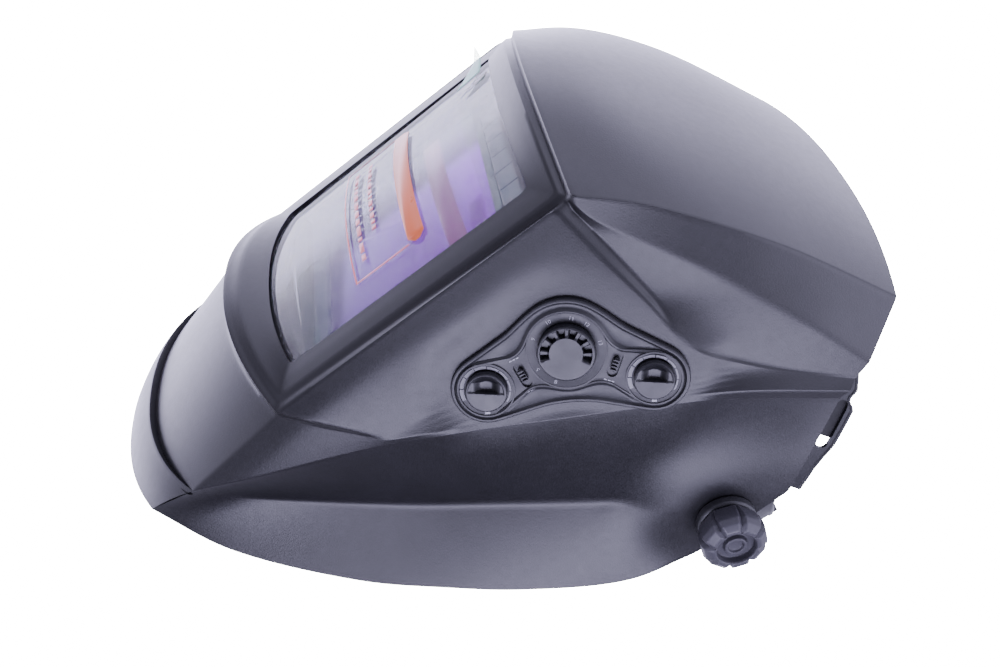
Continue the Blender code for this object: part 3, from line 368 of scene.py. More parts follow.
# ---------------------------------------------------------------- materials
def add_node(owner, kind, operation=None, **values):
    """A new shader node with its operation and its input values set by name."""
    node = owner.node_tree.nodes.new("ShaderNode" + kind)
    if operation:
        node.operation = operation
    for key, value in values.items():
        node.inputs[key.replace("_", " ")].default_value = value
    return node


def noise(mat, scale, detail=3.0):
    tex = add_node(mat, "TexNoise", Scale=scale, Detail=detail, Roughness=0.55)
    mat.node_tree.links.new(coordinates(mat), tex.inputs["Vector"])
    return tex.outputs["Fac"]


def coordinates(mat):
    node = mat.node_tree.nodes.get("coords")
    if not node:
        node = add_node(mat, "TexCoord")
        node.name = "coords"
    return node.outputs["Object"]


def ranged(mat, value, low, high, out_low, out_high):
    node = add_node(mat, "MapRange", From_Min=low, From_Max=high, To_Min=out_low, To_Max=out_high)
    mat.node_tree.links.new(value, node.inputs["Value"])
    return node.outputs["Result"]


def blended(mat, fac, low, high):
    """Mixes two colours, or a colour and a socket, by fac."""
    node = add_node(mat, "Mix")
    node.data_type = "RGBA"
    mat.node_tree.links.new(fac, node.inputs[0])
    for socket, value in ((node.inputs[6], low), (node.inputs[7], high)):
        if isinstance(value, tuple):
            socket.default_value = (*value, 1.0)
        else:
            mat.node_tree.links.new(value, socket)
    return node.outputs[2]


def shader_of(mat):
    return mat.node_tree.nodes["Principled BSDF"]


def bump(mat, height, depth, below=None):
    node = add_node(mat, "Bump", Strength=1.0, Distance=depth * MM)
    mat.node_tree.links.new(height, node.inputs["Height"])
    if below:
        mat.node_tree.links.new(below, node.inputs["Normal"])
    return node.outputs["Normal"]


def surface(name, colour, roughness, metallic=0.0, grain=900.0, depth=0.03, blotch=30.0, vary=0.18,
            mottle=0.06, **sockets):
    """A moulded or machined surface: colour and gloss vary softly, with a fine grain in relief."""
    mat = bpy.data.materials.new(name)
    mat.use_nodes = True
    shader = shader_of(mat)
    links = mat.node_tree.links
    cloud = noise(mat, blotch)
    low = tuple(c * (1 - vary) for c in colour)
    high = tuple(min(c * (1 + vary), 1.0) for c in colour)
    links.new(blended(mat, ranged(mat, cloud, 0.3, 0.7, 0, 1), low, high), shader.inputs["Base Color"])
    wear = noise(mat, blotch * 4.7, 5.0)
    links.new(ranged(mat, wear, 0.3, 0.7, roughness - mottle, roughness + mottle), shader.inputs["Roughness"])
    if depth:
        links.new(bump(mat, noise(mat, grain, 2.0), depth), shader.inputs["Normal"])
    shader.inputs["Metallic"].default_value = metallic
    for key, value in sockets.items():
        shader.inputs[key.replace("_", " ")].default_value = value
    return mat


def foam_material():
    """Terry-faced foam: looped pile in relief with a soft sheen."""
    mat = surface("foam_pile", (0.028, 0.028, 0.032), 0.92, grain=500.0, depth=0.0, vary=0.3, mottle=0.04)
    shader = shader_of(mat)
    cells = add_node(mat, "TexVoronoi", Scale=620.0)
    mat.node_tree.links.new(coordinates(mat), cells.inputs["Vector"])
    pile = bump(mat, cells.outputs["Distance"], 0.5)
    fuzz = bump(mat, noise(mat, 1700.0), 0.15, below=pile)
    mat.node_tree.links.new(fuzz, shader.inputs["Normal"])
    shader.inputs["Sheen Weight"].default_value = 0.5
    shader.inputs["Sheen Roughness"].default_value = 0.5
    return mat


def axis_of(mat, axis):
    node = add_node(mat, "SeparateXYZ")
    mat.node_tree.links.new(coordinates(mat), node.inputs[0])
    return node.outputs[axis]


def glowing_filter_material():
    """Coated filter glass: violet to lilac, paling to teal at the far side, with a painted glow: it emits its
    own tint though it is no lamp.
    """
    mat = surface("filter_coating_painted_glow", (0.5, 0.3, 0.85), 0.16, metallic=1.0, depth=0.0, mottle=0.03)
    shader = shader_of(mat)
    height = ranged(mat, axis_of(mat, "Z"), -0.09, 0.005, 0, 1)
    across = ranged(mat, axis_of(mat, "X"), -0.056, -0.018, 0, 1)
    near = blended(mat, height, (0.05, 0.025, 0.12), (0.19, 0.045, 0.38))
    far = blended(mat, height, (0.05, 0.08, 0.12), (0.12, 0.22, 0.28))
    tint = blended(mat, across, far, near)
    mat.node_tree.links.new(tint, shader.inputs["Base Color"])
    # Painted glow: the tint is also emitted, so the filter shines though it is no lamp.
    mat.node_tree.links.new(tint, shader.inputs["Emission Color"])
    shader.inputs["Emission Strength"].default_value = 1.0
    return mat


def lens_material():
    """Clear cover lens with a faint green tint."""
    return surface("cover_lens_clear", (0.90, 0.985, 0.97), 0.03, depth=0.0, vary=0.01, mottle=0.012,
                   Transmission_Weight=1.0, IOR=1.45, Alpha=0.3)


def tinted(name, colour, roughness, **sockets):
    return surface(name, colour, roughness, depth=0.004, vary=0.06, mottle=0.03, **sockets)


NYLON = surface("shell_nylon_grain", (0.007, 0.0067, 0.0085), 0.39, grain=1500.0, depth=0.05, blotch=60.0,
                mottle=0.02, Coat_Weight=0.06, Coat_Roughness=0.35)
PLASTIC = surface("black_plastic_satin", (0.012, 0.012, 0.014), 0.42, grain=1500.0, depth=0.025)
GLOSS = surface("knob_plastic_semi", (0.011, 0.011, 0.013), 0.36, grain=1800.0, depth=0.012)
# Painted light: a lighter copy of the knob plastic for the tension knobs, standing in for the light that
# falls on their petals.
KNOB_PAINTED_LIGHT = surface("tension_knob_painted_light", (0.034, 0.033, 0.040), 0.46, grain=1800.0, depth=0.012)
RUBBER = surface("rubber_matt", (0.008, 0.008, 0.009), 0.72, grain=1100.0, depth=0.04)
CASE = surface("cartridge_plastic_satin", (0.045, 0.085, 0.105), 0.30, grain=1500.0, depth=0.002)
STEEL = surface("zinc_steel", (0.60, 0.60, 0.63), 0.32, metallic=1.0, grain=700.0, depth=0.012, vary=0.1)
BOARD = surface("solder_mask", (0.015, 0.13, 0.05), 0.4, grain=400.0, depth=0.02)
CABLE = surface("ribbon_grey", (0.42, 0.42, 0.45), 0.5, grain=900.0, depth=0.02)
SENSOR = surface("sensor_dome_dark", (0.06, 0.012, 0.02), 0.12, depth=0.0, mottle=0.03)
SOLAR = surface("solar_cell_dark", (0.018, 0.045, 0.075), 0.16, grain=300.0, depth=0.004, vary=0.3)
CLEAR = lens_material()
# The filter's material carries a painted glow.
FILTER_PAINTED_GLOW = glowing_filter_material()
FOAM = foam_material()
SCALE_GREY = surface("scale_ring_grey", (0.20, 0.20, 0.215), 0.42, grain=1500.0, depth=0.012)
PRINT = tinted("print_grey", (0.30, 0.30, 0.33), 0.45)
LABEL_ORANGE = tinted("label_orange", (0.90, 0.19, 0.06), 0.3)
LABEL_PINK = tinted("label_pink", (0.95, 0.28, 0.30), 0.3)
LABEL_MAGENTA = tinted("label_magenta", (0.30, 0.03, 0.24), 0.3)
TAB_GREEN = tinted("peel_tab_green", (0.30, 0.85, 0.62), 0.25, Alpha=0.6)


# ---------------------------------------------------------------- face shell
def mask_edge(t):
    share = min(t / MASK_TIP, 1.0)
    rise = MASK_RISE[0] + (MASK_RISE[1] - MASK_RISE[0]) * share
    return line_at(CHEEK_LINE, t) + Vector(MASK_LEAN) * rise


def mask_foot(t):
    share = min(t / MASK_TIP, 1.0)
    return mask_edge(t) + Vector(MASK_STEP) * (1 - share) - Vector((0, 0, MASK_SEAM)) * share


def read_line(line, t):
    return line(t) if callable(line) else line_at(line, t)


def between(first, last, share, t):
    return read_line(first, t).lerp(read_line(last, t), share)


def crown_row(s):
    row = []
    for t in STATIONS:
        ridge = line_at(RIDGE, t)
        lean = math.radians(12 + 76 * t)
        front = arc_at(CROWN_RIM, s) - arc_at(CROWN_RIM, 1.0)
        rise = CROWN_RISE_REAR * (1 - s ** 2.2) * smooth_share(t, -0.4, 0.9)
        fade = (1 - t) ** 2
        row.append(Vector((ridge.x * s, ridge.y, ridge.z)) + Vector((0, front.y, front.z)) * fade
                   + Vector((0, -math.cos(lean), math.sin(lean))) * rise * (1 - fade))
    return row


# Spans between neighbouring feature lines: first line, last line, rows.
SIDE_SPANS = ((RIDGE, BROW_LINE, 3), (BROW_LINE, STEP_FOOT, 3), (STEP_FOOT, STEP_EDGE, 1),
              (STEP_EDGE, mask_edge, WINDOW_ROWS), (mask_edge, mask_foot, 1), (mask_foot, CHEEK_LINE, 8),
              (CHEEK_LINE, JAW_LINE, 4), (JAW_LINE, HEM_LINE, 6))
# Edge sharpness along each feature line; 0.5 stays crisp, 0.25 is softly rounded.
LINE_CREASES = ((RIDGE, 0.48), (BROW_LINE, 0.46), (STEP_FOOT, 0.5), (STEP_EDGE, 0.5), (CHEEK_LINE, 0.52),
                (JAW_LINE, 0.5))


def side_place(first, last, share, t):
    return seat_pivot(seat_controls(between(first, last, share, t)))


def shell_sheets():
    """The left half's sheets of points, and the lines that stay creased with their sharpness."""
    creases = []
    sheets = [[crown_row(s) for s in ACROSS]]
    rows = [[side_place(RIDGE, RIDGE, 0, t) for t in STATIONS]]
    for first, last, count in SIDE_SPANS:
        rows += [[side_place(first, last, i / count, t) for t in STATIONS] for i in range(1, count + 1)]
    sheets.append(rows)
    for line, sharp in LINE_CREASES:
        creases.append(([side_place(line, line, 0, t) for t in STATIONS], sharp))
    for line in (mask_edge, mask_foot):
        creases.append(([side_place(line, line, 0, t) for t in STATIONS if t < MASK_TIP + 0.02], 0.5))
    edge = [between(STEP_EDGE, mask_edge, i / WINDOW_ROWS, 0) for i in range(WINDOW_ROWS + 1)]
    rings = [([arc_at(CROWN_RIM, s) for s in ACROSS], edge, [arc_at(CHIN_LIP, s) for s in ACROSS])]
    for upper, lower in WINDOW_RINGS:
        top, bottom = arc_at(upper, 1.0), arc_at(lower, 1.0)
        side = [top.lerp(bottom, i / WINDOW_ROWS) for i in range(WINDOW_ROWS + 1)]
        rings.append(([arc_at(upper, s) for s in ACROSS], side, [arc_at(lower, s) for s in ACROSS]))
    for stretch in range(3):
        sheets.append([ring[stretch] for ring in rings])
        creases += [(ring[stretch], 0.5) for ring in rings]
    recess = [arc_at(CHIN_RECESS, s) for s in ACROSS]
    flange = [arc_at(FLANGE_TOP, s) for s in ACROSS]
    lip = [arc_at(CHIN_LIP, s) for s in ACROSS]
    chin = [[a.lerp(b, i / 8) for a, b in zip(recess, flange)] for i in range(9)]
    edge_fade = [1 - s ** 6 for s in ACROSS]
    groove = [p + Vector((0, 0.9, -0.9)) * f for p, f in zip(flange, edge_fade)]
    ledge = [p + Vector((0, *FLANGE_LEDGE)) * f for p, f in zip(flange, edge_fade)]
    hem = [arc_at(FLANGE_HEM, s) for s in ACROSS]
    brim = [[a.lerp(b, i / 6) + Vector((0, -0.9, 0)) * math.sin(math.pi * i / 6) for a, b in zip(ledge, hem)]
            for i in range(7)]
    sheets.append([lip] + chin + [groove] + brim)
    creases += [(recess, 0.5), (flange, 0.5), (groove, 0.45), (ledge, 0.48)]
    creases.append(([row[-1] for row in chin], 0.28))
    creases.append(([side_place(JAW_LINE, HEM_LINE, i / 6, 0) for i in range(7)], 0.45))
    return sheets, creases


def fan_points():
    """Points down the mask's front corner, which a fan of triangles joins to the window's corner."""
    points = [line_at(RIDGE, 0)]
    for first, last, count in SIDE_SPANS[:3]:
        points += [between(first, last, i / count, 0) for i in range(1, count + 1)]
    return points


def add_sheet(bm, rows, side):
    grid_faces(bm, [[bm.verts.new((p.x * side, p.y, p.z)) for p in row] for row in rows])


def shell_cage():
    bm = bmesh.new()
    sheets, creases = shell_sheets()
    fan = fan_points()
    corner = arc_at(WINDOW_RINGS[0][0], 1.0)
    for side in (1, -1):
        for rows in sheets:
            add_sheet(bm, rows, side)
        tip = bm.verts.new((corner.x * side, corner.y, corner.z))
        ends = [bm.verts.new((p.x * side, p.y, p.z)) for p in fan]
        for a, b in zip(ends, ends[1:]):
            bm.faces.new((a, b, tip))
    bmesh.ops.remove_doubles(bm, verts=bm.verts, dist=0.03)
    bmesh.ops.dissolve_degenerate(bm, edges=bm.edges, dist=0.02)
    bmesh.ops.recalc_face_normals(bm, faces=bm.faces)
    set_creases(bm, creases)
    return bm


def set_creases(bm, creases):
    layer = bm.edges.layers.float.get("crease_edge") or bm.edges.layers.float.new("crease_edge")
    bm.verts.ensure_lookup_table()
    tree = KDTree(len(bm.verts))
    for v in bm.verts:
        tree.insert(v.co, v.index)
    tree.balance()
    for line, sharp in creases:
        for side in (1, -1):
            hits = [bm.verts[tree.find((p.x * side, p.y, p.z))[1]] for p in line]
            for a, b in zip(hits, hits[1:]):
                edge = bm.edges.get((a, b)) if a is not b else None
                if edge:
                    edge[layer] = sharp


PIVOT_HOLE = 6.5
CONTROL_HOLE_INSET = 3.2


def cut_openings(obj):
    """Opens the shell under the control plate and at the pivots."""
    bm = bmesh.new()
    bm.from_mesh(obj.data)
    gone = []
    for face in bm.faces:
        p = face.calc_center_median() / MM
        on_facet = p.x > 60 and abs((p - FACET_ORIGIN).dot(FACET_NORMAL)) < 2
        if math.hypot(p.y, p.z) < PIVOT_HOLE and abs(p.x) > 100:
            gone.append(face)
        elif on_facet and module_distance(facet_flat(p)) < -CONTROL_HOLE_INSET:
            gone.append(face)
    bmesh.ops.delete(bm, geom=gone, context="FACES")
    bm.to_mesh(obj.data)
    bm.free()


def make_shell():
    bm = shell_cage()
    middle = Vector((0, -60, -40))
    if sum((f.calc_center_median() - middle).dot(f.normal) * f.calc_area() for f in bm.faces) < 0:
        bmesh.ops.reverse_faces(bm, faces=bm.faces)
    bmesh.ops.scale(bm, vec=(MM, MM, MM), verts=bm.verts)
    mesh = bpy.data.meshes.new("face_shell")
    bm.to_mesh(mesh)
    bm.free()
    obj = linked("face_shell", mesh)
    mesh.materials.append(NYLON)
    add_mod(obj, "SUBSURF", levels=SUBDIVISIONS, render_levels=SUBDIVISIONS)
    bake(obj)
    cut_openings(obj)
    add_mod(obj, "SOLIDIFY", thickness=SHELL_WALL * MM, offset=-1)
    ride(shaded(bake(obj), 38), "shell", "shell_nylon", "helmet_shell")


# ---------------------------------------------------------------- lens, filter and label
def window_bow(x):
    return max(1 - (x / WINDOW_HALF) ** 2, -0.2)


def window_sheet(bm, half, bottom, top, depth, corner):
    """A sheet that follows the window's curve, depth behind its plane, with rounded corners."""
    steps = (48, 24)
    rows = []
    for j in range(steps[1] + 1):
        v = j / steps[1]
        row = []
        for i in range(steps[0] + 1):
            x = -half + 2 * half * i / steps[0]
            z = bottom + (top - bottom) * v
            over = max(abs(z - (bottom + top) / 2) - ((top - bottom) / 2 - corner), 0.0)
            reach = half - corner + math.sqrt(max(corner ** 2 - over ** 2, 0.0))
            x *= reach / half
            bow = window_bow(x)
            z += (WINDOW_RINGS[-1][1][4] * (1 - v) + WINDOW_RINGS[-1][0][4] * v) * bow
            row.append(bm.verts.new((x, lens_curve(x) + depth, z)))
        rows.append(row)
    grid_faces(bm, rows)


def window_plate(name, half, bottom, top, depth, thick, mat, corner):
    bm = bmesh.new()
    window_sheet(bm, half, bottom, top, depth, corner)
    obj = finish_mesh(name, bm, mat)
    mesh = obj.data
    if mesh.polygons[0].normal.y > 0:
        mesh.flip_normals()
    add_mod(obj, "SOLIDIFY", thickness=thick * MM, offset=-1)
    return shaded(bake(obj), 40)


def window_path(half, bottom, top, corner):
    """A rounded rectangle round the window as (x, z) points, bowed like the opening."""
    steps = 10
    centres = ((half - corner, top - corner, 0), (corner - half, top - corner, 90),
               (corner - half, bottom + corner, 180), (half - corner, bottom + corner, 270))
    loop = []
    for cx, cz, start in centres:
        for i in range(steps + 1):
            a = math.radians(start + 90 * i / steps)
            loop.append((cx + corner * math.cos(a), cz + corner * math.sin(a)))
    dense = []
    for i, ((x0, z0), (x1, z1)) in enumerate(zip(loop, loop[1:] + loop[:1])):
        count = 40 if i % (steps + 1) == steps else 1
        dense += [(x0 + (x1 - x0) * k / count, z0 + (z1 - z0) * k / count) for k in range(count)]
    out = []
    for x, z in dense:
        share = (z - bottom) / (top - bottom)
        rise = WINDOW_RINGS[-1][1][4] * (1 - share) + WINDOW_RINGS[-1][0][4] * share
        out.append((x, z + rise * window_bow(x)))
    return out


def window_frame(name, levels, mat):
    """A frame skinned through loops given as (half, bottom, top, corner, depth)."""
    rings = []
    for half, bottom, top, corner, depth in levels:
        loop = window_path(half, bottom, top, corner)
        rings.append([Vector((x, lens_curve(x) + depth, z)) for x, z in loop])
    bm = bmesh.new()
    ring_mesh(bm, rings)
    return finish_mesh(name, bm, mat, 35)


def boxed(name, low, high, mat, width):
    outline = rect(low[0], high[0], low[1], high[1])
    axes = (Vector((1, 0, 0)), Vector((0, 1, 0)), Vector((0, 0, 1)))
    obj = prism(name, outline, (0, 0, 0), axes, low[2], high[2], mat)
    return rounded(obj, width) if width else obj


def cut_boxes(obj, boxes):
    """Cuts closed cutter meshes from an object and removes them."""
    for cutter in boxes:
        add_mod(obj, "BOOLEAN", operation="DIFFERENCE", object=cutter, solver="EXACT")
    bake(obj)
    for cutter in boxes:
        bpy.data.objects.remove(cutter, do_unlink=True)
    return shaded(obj, 35)


# The cartridge's front face (y), and its window as half width, bottom and top.
CASE_FRONT = -142.0
VIEW = (54.0, -90.0, 0.5)
# Front and back of the seal behind the lens's curve, and its outer and inner outline.
SEAL_DEPTHS = (3.4, 4.5)
SEAL_OUTER = (63.8, -104.8, 24.8, 5)
SEAL_INNER = (59.3, -100.3, 20.3, 4)


def make_lens():
    lens = window_plate("cover_lens", 59.8, -100.8, 20.8, 1.0, 1.2, CLEAR, corner=1.0)
    lens.visible_shadow = False
    ride(lens, "shell", "clear_lens", "outer_lens")
    front, back = SEAL_DEPTHS
    levels = ((*SEAL_OUTER, front), (*SEAL_INNER, front), (*SEAL_INNER, back), (*SEAL_OUTER, back))
    ride(window_frame("window_seal", levels, RUBBER), "shell", "rubber", "lens_gasket")
    case = boxed("cartridge_case", (-62, CASE_FRONT, -98), (62, CASE_FRONT + 12, 18), CASE, 1.0)
    cutters = [boxed("cut_view", (-VIEW[0], -150, VIEW[1]), (VIEW[0], -138, VIEW[2]), CASE, 0),
               boxed("cut_inside", (-60, CASE_FRONT + 2.5, -96), (60, -125, 16), CASE, 0),
               boxed("cut_cell", (-42, -150, 4), (42, CASE_FRONT + 1.2, 14), CASE, 0)]
    ride(cut_boxes(case, cutters), "shell", "cartridge_plastic", "filter_case")
    # The filter plate's material has a painted glow.
    glass = boxed("glowing_filter_plate", (-57, CASE_FRONT + 2.9, -93), (57, CASE_FRONT + 7.5, 2.2), FILTER_PAINTED_GLOW, 0.3)
    ride(glass, "shell", "filter_glass", "filter_glass")
    cell = bmesh.new()
    axes = (Vector((1, 0, 0)), Vector((0, 0, 1)), Vector((0, -1, 0)))
    for i in range(6):
        left = -41.6 + i * 13.95
        prism_mesh(cell, rect(left, left + 13.4, 4.4, 13.6), (0, 0, 0), axes, 141.1, 141.7)
    ride(finish_mesh("solar_strips", cell, SOLAR), "shell", "solar_cell", "solar_cell")
    make_label()


FILM_STRIP = 3.0


def film_patch(name, outline, mat, depth=0.8):
    """A thin printed patch on the cover lens's face, from an (x, z) polygon cut into narrow strips."""
    bm = bmesh.new()
    verts = [bm.verts.new((x, 0, z)) for x, z in outline]
    face = bm.faces.new(verts)
    bmesh.ops.triangulate(bm, faces=[face])
    low = min(x for x, _ in outline)
    high = max(x for x, _ in outline)
    x = low + FILM_STRIP
    while x < high:
        bmesh.ops.bisect_plane(bm, geom=bm.verts[:] + bm.edges[:] + bm.faces[:], plane_co=(x, 0, 0),
                               plane_no=(1, 0, 0))
        x += FILM_STRIP
    for v in bm.verts:
        v.co.y = lens_curve(v.co.x) + depth
    obj = finish_mesh(name, bm, mat)
    add_mod(obj, "SOLIDIFY", thickness=0.06 * MM, offset=0)
    return ride(bake(obj), "shell")


def rect(x0, x1, z0, z1):
    return ((x0, z0), (x1, z0), (x1, z1), (x0, z1))


def make_label():
    """Protective film's print: header bar, outline, generic bars and a plain strip."""
    header = [(42, -33.6), (45, -30.6), (45, -28), (42, -25.2), (-42, -25.2), (-45, -28), (-45, -33.6)]
    film_patch("film_header", header[::-1], LABEL_ORANGE)
    for i, (x0, x1, z0, z1) in enumerate(((-45, 45, -62, -61.1), (44.1, 45, -61.1, -33.6),
                                          (-45, -44.1, -61.1, -33.6))):
        film_patch(f"film_outline_{i + 1}", rect(x0, x1, z0, z1), LABEL_PINK)
    rng = random.Random(SEED)
    for row, (z, end) in enumerate(((-47.5, 23.0), (-55.3, 36.0))):
        x = -36.0
        index = 0
        while x < end:
            width = 2.2 + rng.random() * 4.5
            index += 1
            bar = rect(x, min(x + width, end), z - 1.1, z + 1.1)
            film_patch(f"film_bar_{row + 1}_{index}", bar, LABEL_PINK)
            x += width + 1.5
    film_patch("film_strip", rect(-12, 60, -18.0, -9.0), LABEL_MAGENTA, depth=2.8)
    make_tab()


def make_tab():
    """The film's peel tab, curling out at the window's far top corner."""
    bm = bmesh.new()
    rows = []
    for i in range(15):
        u = i / 14
        row = []
        for j in range(7):
            w = j / 6
            x = -38 - 27 * u - 3 * w
            lift = 2.0 + 10.0 * u ** 1.6 * (0.35 + 0.65 * w)
            z = 17.5 - 13 * (1 - w) * (1 - 0.75 * u) + 1.5 * math.sin(2.5 * u)
            row.append(bm.verts.new((x, lens_curve(max(x, -60)) - lift * 0.45, z)))
        rows.append(row)
    grid_faces(bm, rows)
    obj = finish_mesh("film_tab", bm, TAB_GREEN)
    add_mod(obj, "SOLIDIFY", thickness=0.12 * MM, offset=0)
    bake(obj)
    obj.data.shade_smooth()
    ride(obj, "shell")


# ---------------------------------------------------------------- control module
PLATE_TOP = 2.6
DIAL_GAP = 0.45
DIAL_HEIGHTS = {"shade": 6.0, "sensitivity": 5.4, "delay": 5.4}


def polar_loop(distance):
    """The zero line of a distance function, walked round the middle dial."""
    count, reach, halvings = 200, 70.0, 26
    cx, cy = DIAL_CENTRES["shade"]
    loop = []
    for i in range(count):
        a = 2 * math.pi * i / count
        low, high = 0.0, reach
        for _ in range(halvings):
            mid = (low + high) / 2
            if distance((cx + mid * math.cos(a), cy + mid * math.sin(a))) < 0:
                low = mid
            else:
                high = mid
        loop.append((cx + low * math.cos(a), cy + low * math.sin(a)))
    return loop


INNER_RADII = {"shade": 16.6, "sensitivity": 11.9, "delay": 11.7}


def inner_distance(p):
    """Distance to the inner plateau: three discs joined by narrower waists."""
    centre = DIAL_CENTRES["shade"]
    total = (Vector(p) - Vector(centre)).length - INNER_RADII["shade"]
    for name in ("sensitivity", "delay"):
        arm = tapered_capsule(p, centre, 8.6, DIAL_CENTRES[name], 7.6)
        lobe = (Vector(p) - Vector(DIAL_CENTRES[name])).length - INNER_RADII[name]
        total = soft_min(total, soft_min(arm, lobe, 5.0), 5.0)
    return total


def make_plate():
    """The module's face: an outer rim, a lowered band, and an inner plateau with its own bead.

    Both outlines are listed as (inset, height).
    """
    outer = ((0.0, 0.4), (0.0, 1.7), (0.35, 2.35), (1.0, PLATE_TOP), (1.5, 2.5), (1.9, 1.9), (2.6, 1.6))
    inner = ((-1.0, 1.6), (-0.5, 1.75), (0.0, 2.3), (0.45, 2.6), (0.95, 2.55), (1.3, 2.15), (1.9, 2.05))
    rings = []
    for k, h in outer:
        loop = polar_loop(lambda p, k=k: module_distance(p) + k)
        rings.append([facet_place(a, b, h) for a, b in loop])
    for k, h in inner:
        loop = polar_loop(lambda p, k=k: max(inner_distance(p) + k, module_distance(p) + 2.7))
        rings.append([facet_place(a, b, h) for a, b in loop])
    bm = bmesh.new()
    made = ring_mesh(bm, rings, closed=False)
    bm.faces.new(made[-1])
    bm.faces.new(made[0][::-1])
    plate = finish_mesh("control_face", bm, PLASTIC, 50)
    cutters = []
    for name, centre in SWITCH_CENTRES.items():
        frame = switch_frame(name)
        place = facet_place(*centre, 0)
        cutters.append(prism(f"cut_{name}", slot_loop(5.6, 2.15), place, frame, 0.9, 6, PLASTIC))
    for name, centre in DIAL_CENTRES.items():
        place = facet_place(*centre, 0)
        loop = circle_loop(DIAL_RADII[name] + DIAL_GAP, 72)
        cutters.append(prism(f"cut_dial_{name}", loop, place, FACET_AXES, 0.9, 6, PLASTIC))
    ride(cut_boxes(plate, cutters), "shell", "black_plastic", "control_plate")


def slot_loop(half, radius, count=10):
    loop = []
    for i in range(count + 1):
        a = -math.pi / 2 + math.pi * i / count
        loop.append((half - radius + radius * math.cos(a), radius * math.sin(a)))
    for i in range(count + 1):
        a = math.pi / 2 + math.pi * i / count
        loop.append((radius - half + radius * math.cos(a), radius * math.sin(a)))
    return loop


def switch_frame(name):
    """Sliding direction, cross direction and normal of a switch."""
    other = {"mode": "sensitivity", "range": "delay"}[name]
    a = DIAL_CENTRES[other][0] - DIAL_CENTRES["shade"][0]
    b = DIAL_CENTRES[other][1] - DIAL_CENTRES["shade"][1]
    way = (FACET_AXES[0] * -b + FACET_AXES[1] * a).normalized()
    return way, FACET_NORMAL.cross(way), FACET_NORMAL


# DIAL_UP as an angle in the facet's plane.
UP_ANGLE = math.atan2(DIAL_UP.dot(FACET_AXES[1]), DIAL_UP.dot(FACET_AXES[0]))


def ring_place(name, radius, angle, height):
    a, b = DIAL_CENTRES[name]
    return facet_place(a + radius * math.cos(angle), b + radius * math.sin(angle), height)


def arc_band(name, dial, inner, outer, start, end, low, high, mat, steps, slope=0.0):
    """A raised band round a dial between two angles in degrees from the top of its scale."""
    rings = []
    for i in range(steps + 1):
        a = UP_ANGLE + math.radians(start + (end - start) * i / steps)
        rings.append([ring_place(dial, inner, a, low), ring_place(dial, outer, a, low),
                      ring_place(dial, outer, a, high), ring_place(dial, inner, a, high - slope)])
    return ride(lofted(name, rings, mat), "shell")


def height_knob(dial, top_height):
    """A knob whose face is a height field; top_height reads x across and y up the dial."""
    radius = DIAL_RADII[dial] - 0.1
    place = facet_place(*DIAL_CENTRES[dial], 0)
    profile = [(0.0, 1.6), (radius - 0.6, 1.6), (radius, 2.0)]
    top = DIAL_HEIGHTS[dial]
    profile += [(radius, top - 0.7), (radius - 0.2, top - 0.22), (radius - 0.65, top)]
    rim = len(profile) - 1
    radial = 26
    profile += [((radius - 0.65) * (1 - i / radial), top) for i in range(1, radial + 1)]

    def shape(angle, k, r, h):
        if k < rim:
            return r, h
        turn = angle - UP_ANGLE
        return r, top_height(-r * math.sin(turn), r * math.cos(turn), r, h)

    return turned(f"{dial}_dial", profile, place, FACET_AXES, GLOSS, 144, 38, shape)


def scooped(x, y, r, top):
    """A finger scoop in the upper half, behind a straight wall."""
    radius = 8.0
    wall = smooth_share(y, -0.35, 0.15)
    rim = 1 - smooth_share(r, radius * 0.46, radius * 0.86)
    flank = 1 - smooth_share(abs(x), radius * 0.22, radius * 0.72)
    return top - wall * (0.5 + 2.6 * min(rim, flank)) * (1 - smooth_share(r, radius * 0.86, radius * 0.9))


def crenelled(x, y, r, top):
    """Finger notches round the upper half of the middle dial."""
    angle = math.degrees(math.atan2(x, y))
    if abs(angle) > 112 or r > 10.2:
        return top
    pitch = 30.0
    offset = abs((angle + 105) % pitch - pitch / 2)
    notch = smooth_share(offset, pitch * 0.16, pitch * 0.24)
    ring = smooth_share(r, 6.5, 7.1) * (1 - smooth_share(r, 9.7, 10.1))
    fade = 1 - smooth_share(abs(angle), 100, 112)
    return top - 2.4 * notch * ring * fade - 0.5 * ring * fade


def make_dials():
    for name in DIAL_CENTRES:
        knob = height_knob(name, crenelled if name == "shade" else scooped)
        ride(knob, f"{name}_knob", "knob_plastic", f"{name}_knob")
    arc_band("shade_bead", "shade", 15.1, 15.7, 0, 360, 1.9, 2.75, PLASTIC, 96)
    arc_band("shade_scale", "shade", 11.9, 15.1, 0, 360, 1.9, 2.55, PLASTIC, 96, slope=0.4)
    for name in ("sensitivity", "delay"):
        r = DIAL_RADII[name]
        arc_band(f"{name}_bead", name, r + 2.5, r + 3.0, 0, 360, 1.9, 2.7, PLASTIC, 72)
        for i in range(8):
            start = -118 + i * 30.0
            arc_band(f"{name}_wedge_{i + 1}", name, r + 0.7, r + 1.25 + 0.14 * i, start, start + 27.5,
                     1.9, 2.35, SCALE_GREY, 6)
        arc_band(f"{name}_arrow", name, r + 0.8, r + 1.9, 178, 190, 1.9, 2.35, PRINT, 4)
    make_numbers()
    make_ticks()


def text_piece(name, words, size, centre, right, up, normal):
    """Raised figures; right and up are unit directions."""
    curve = bpy.data.curves.new(name, "FONT")
    curve.body = words
    curve.size = size * MM
    curve.align_x = "CENTER"
    curve.align_y = "CENTER"
    curve.extrude = 0.03 * MM
    curve.resolution_u = 3
    temp = linked(name, curve)
    mesh = bpy.data.meshes.new_from_object(temp.evaluated_get(bpy.context.evaluated_depsgraph_get()))
    bpy.data.objects.remove(temp, do_unlink=True)
    turn = Matrix((right, up, normal)).transposed().to_4x4()
    turn.translation = centre * MM
    mesh.transform(turn)
    mesh.materials.clear()
    mesh.materials.append(PRINT)
    return ride(linked(name, mesh), "shell")


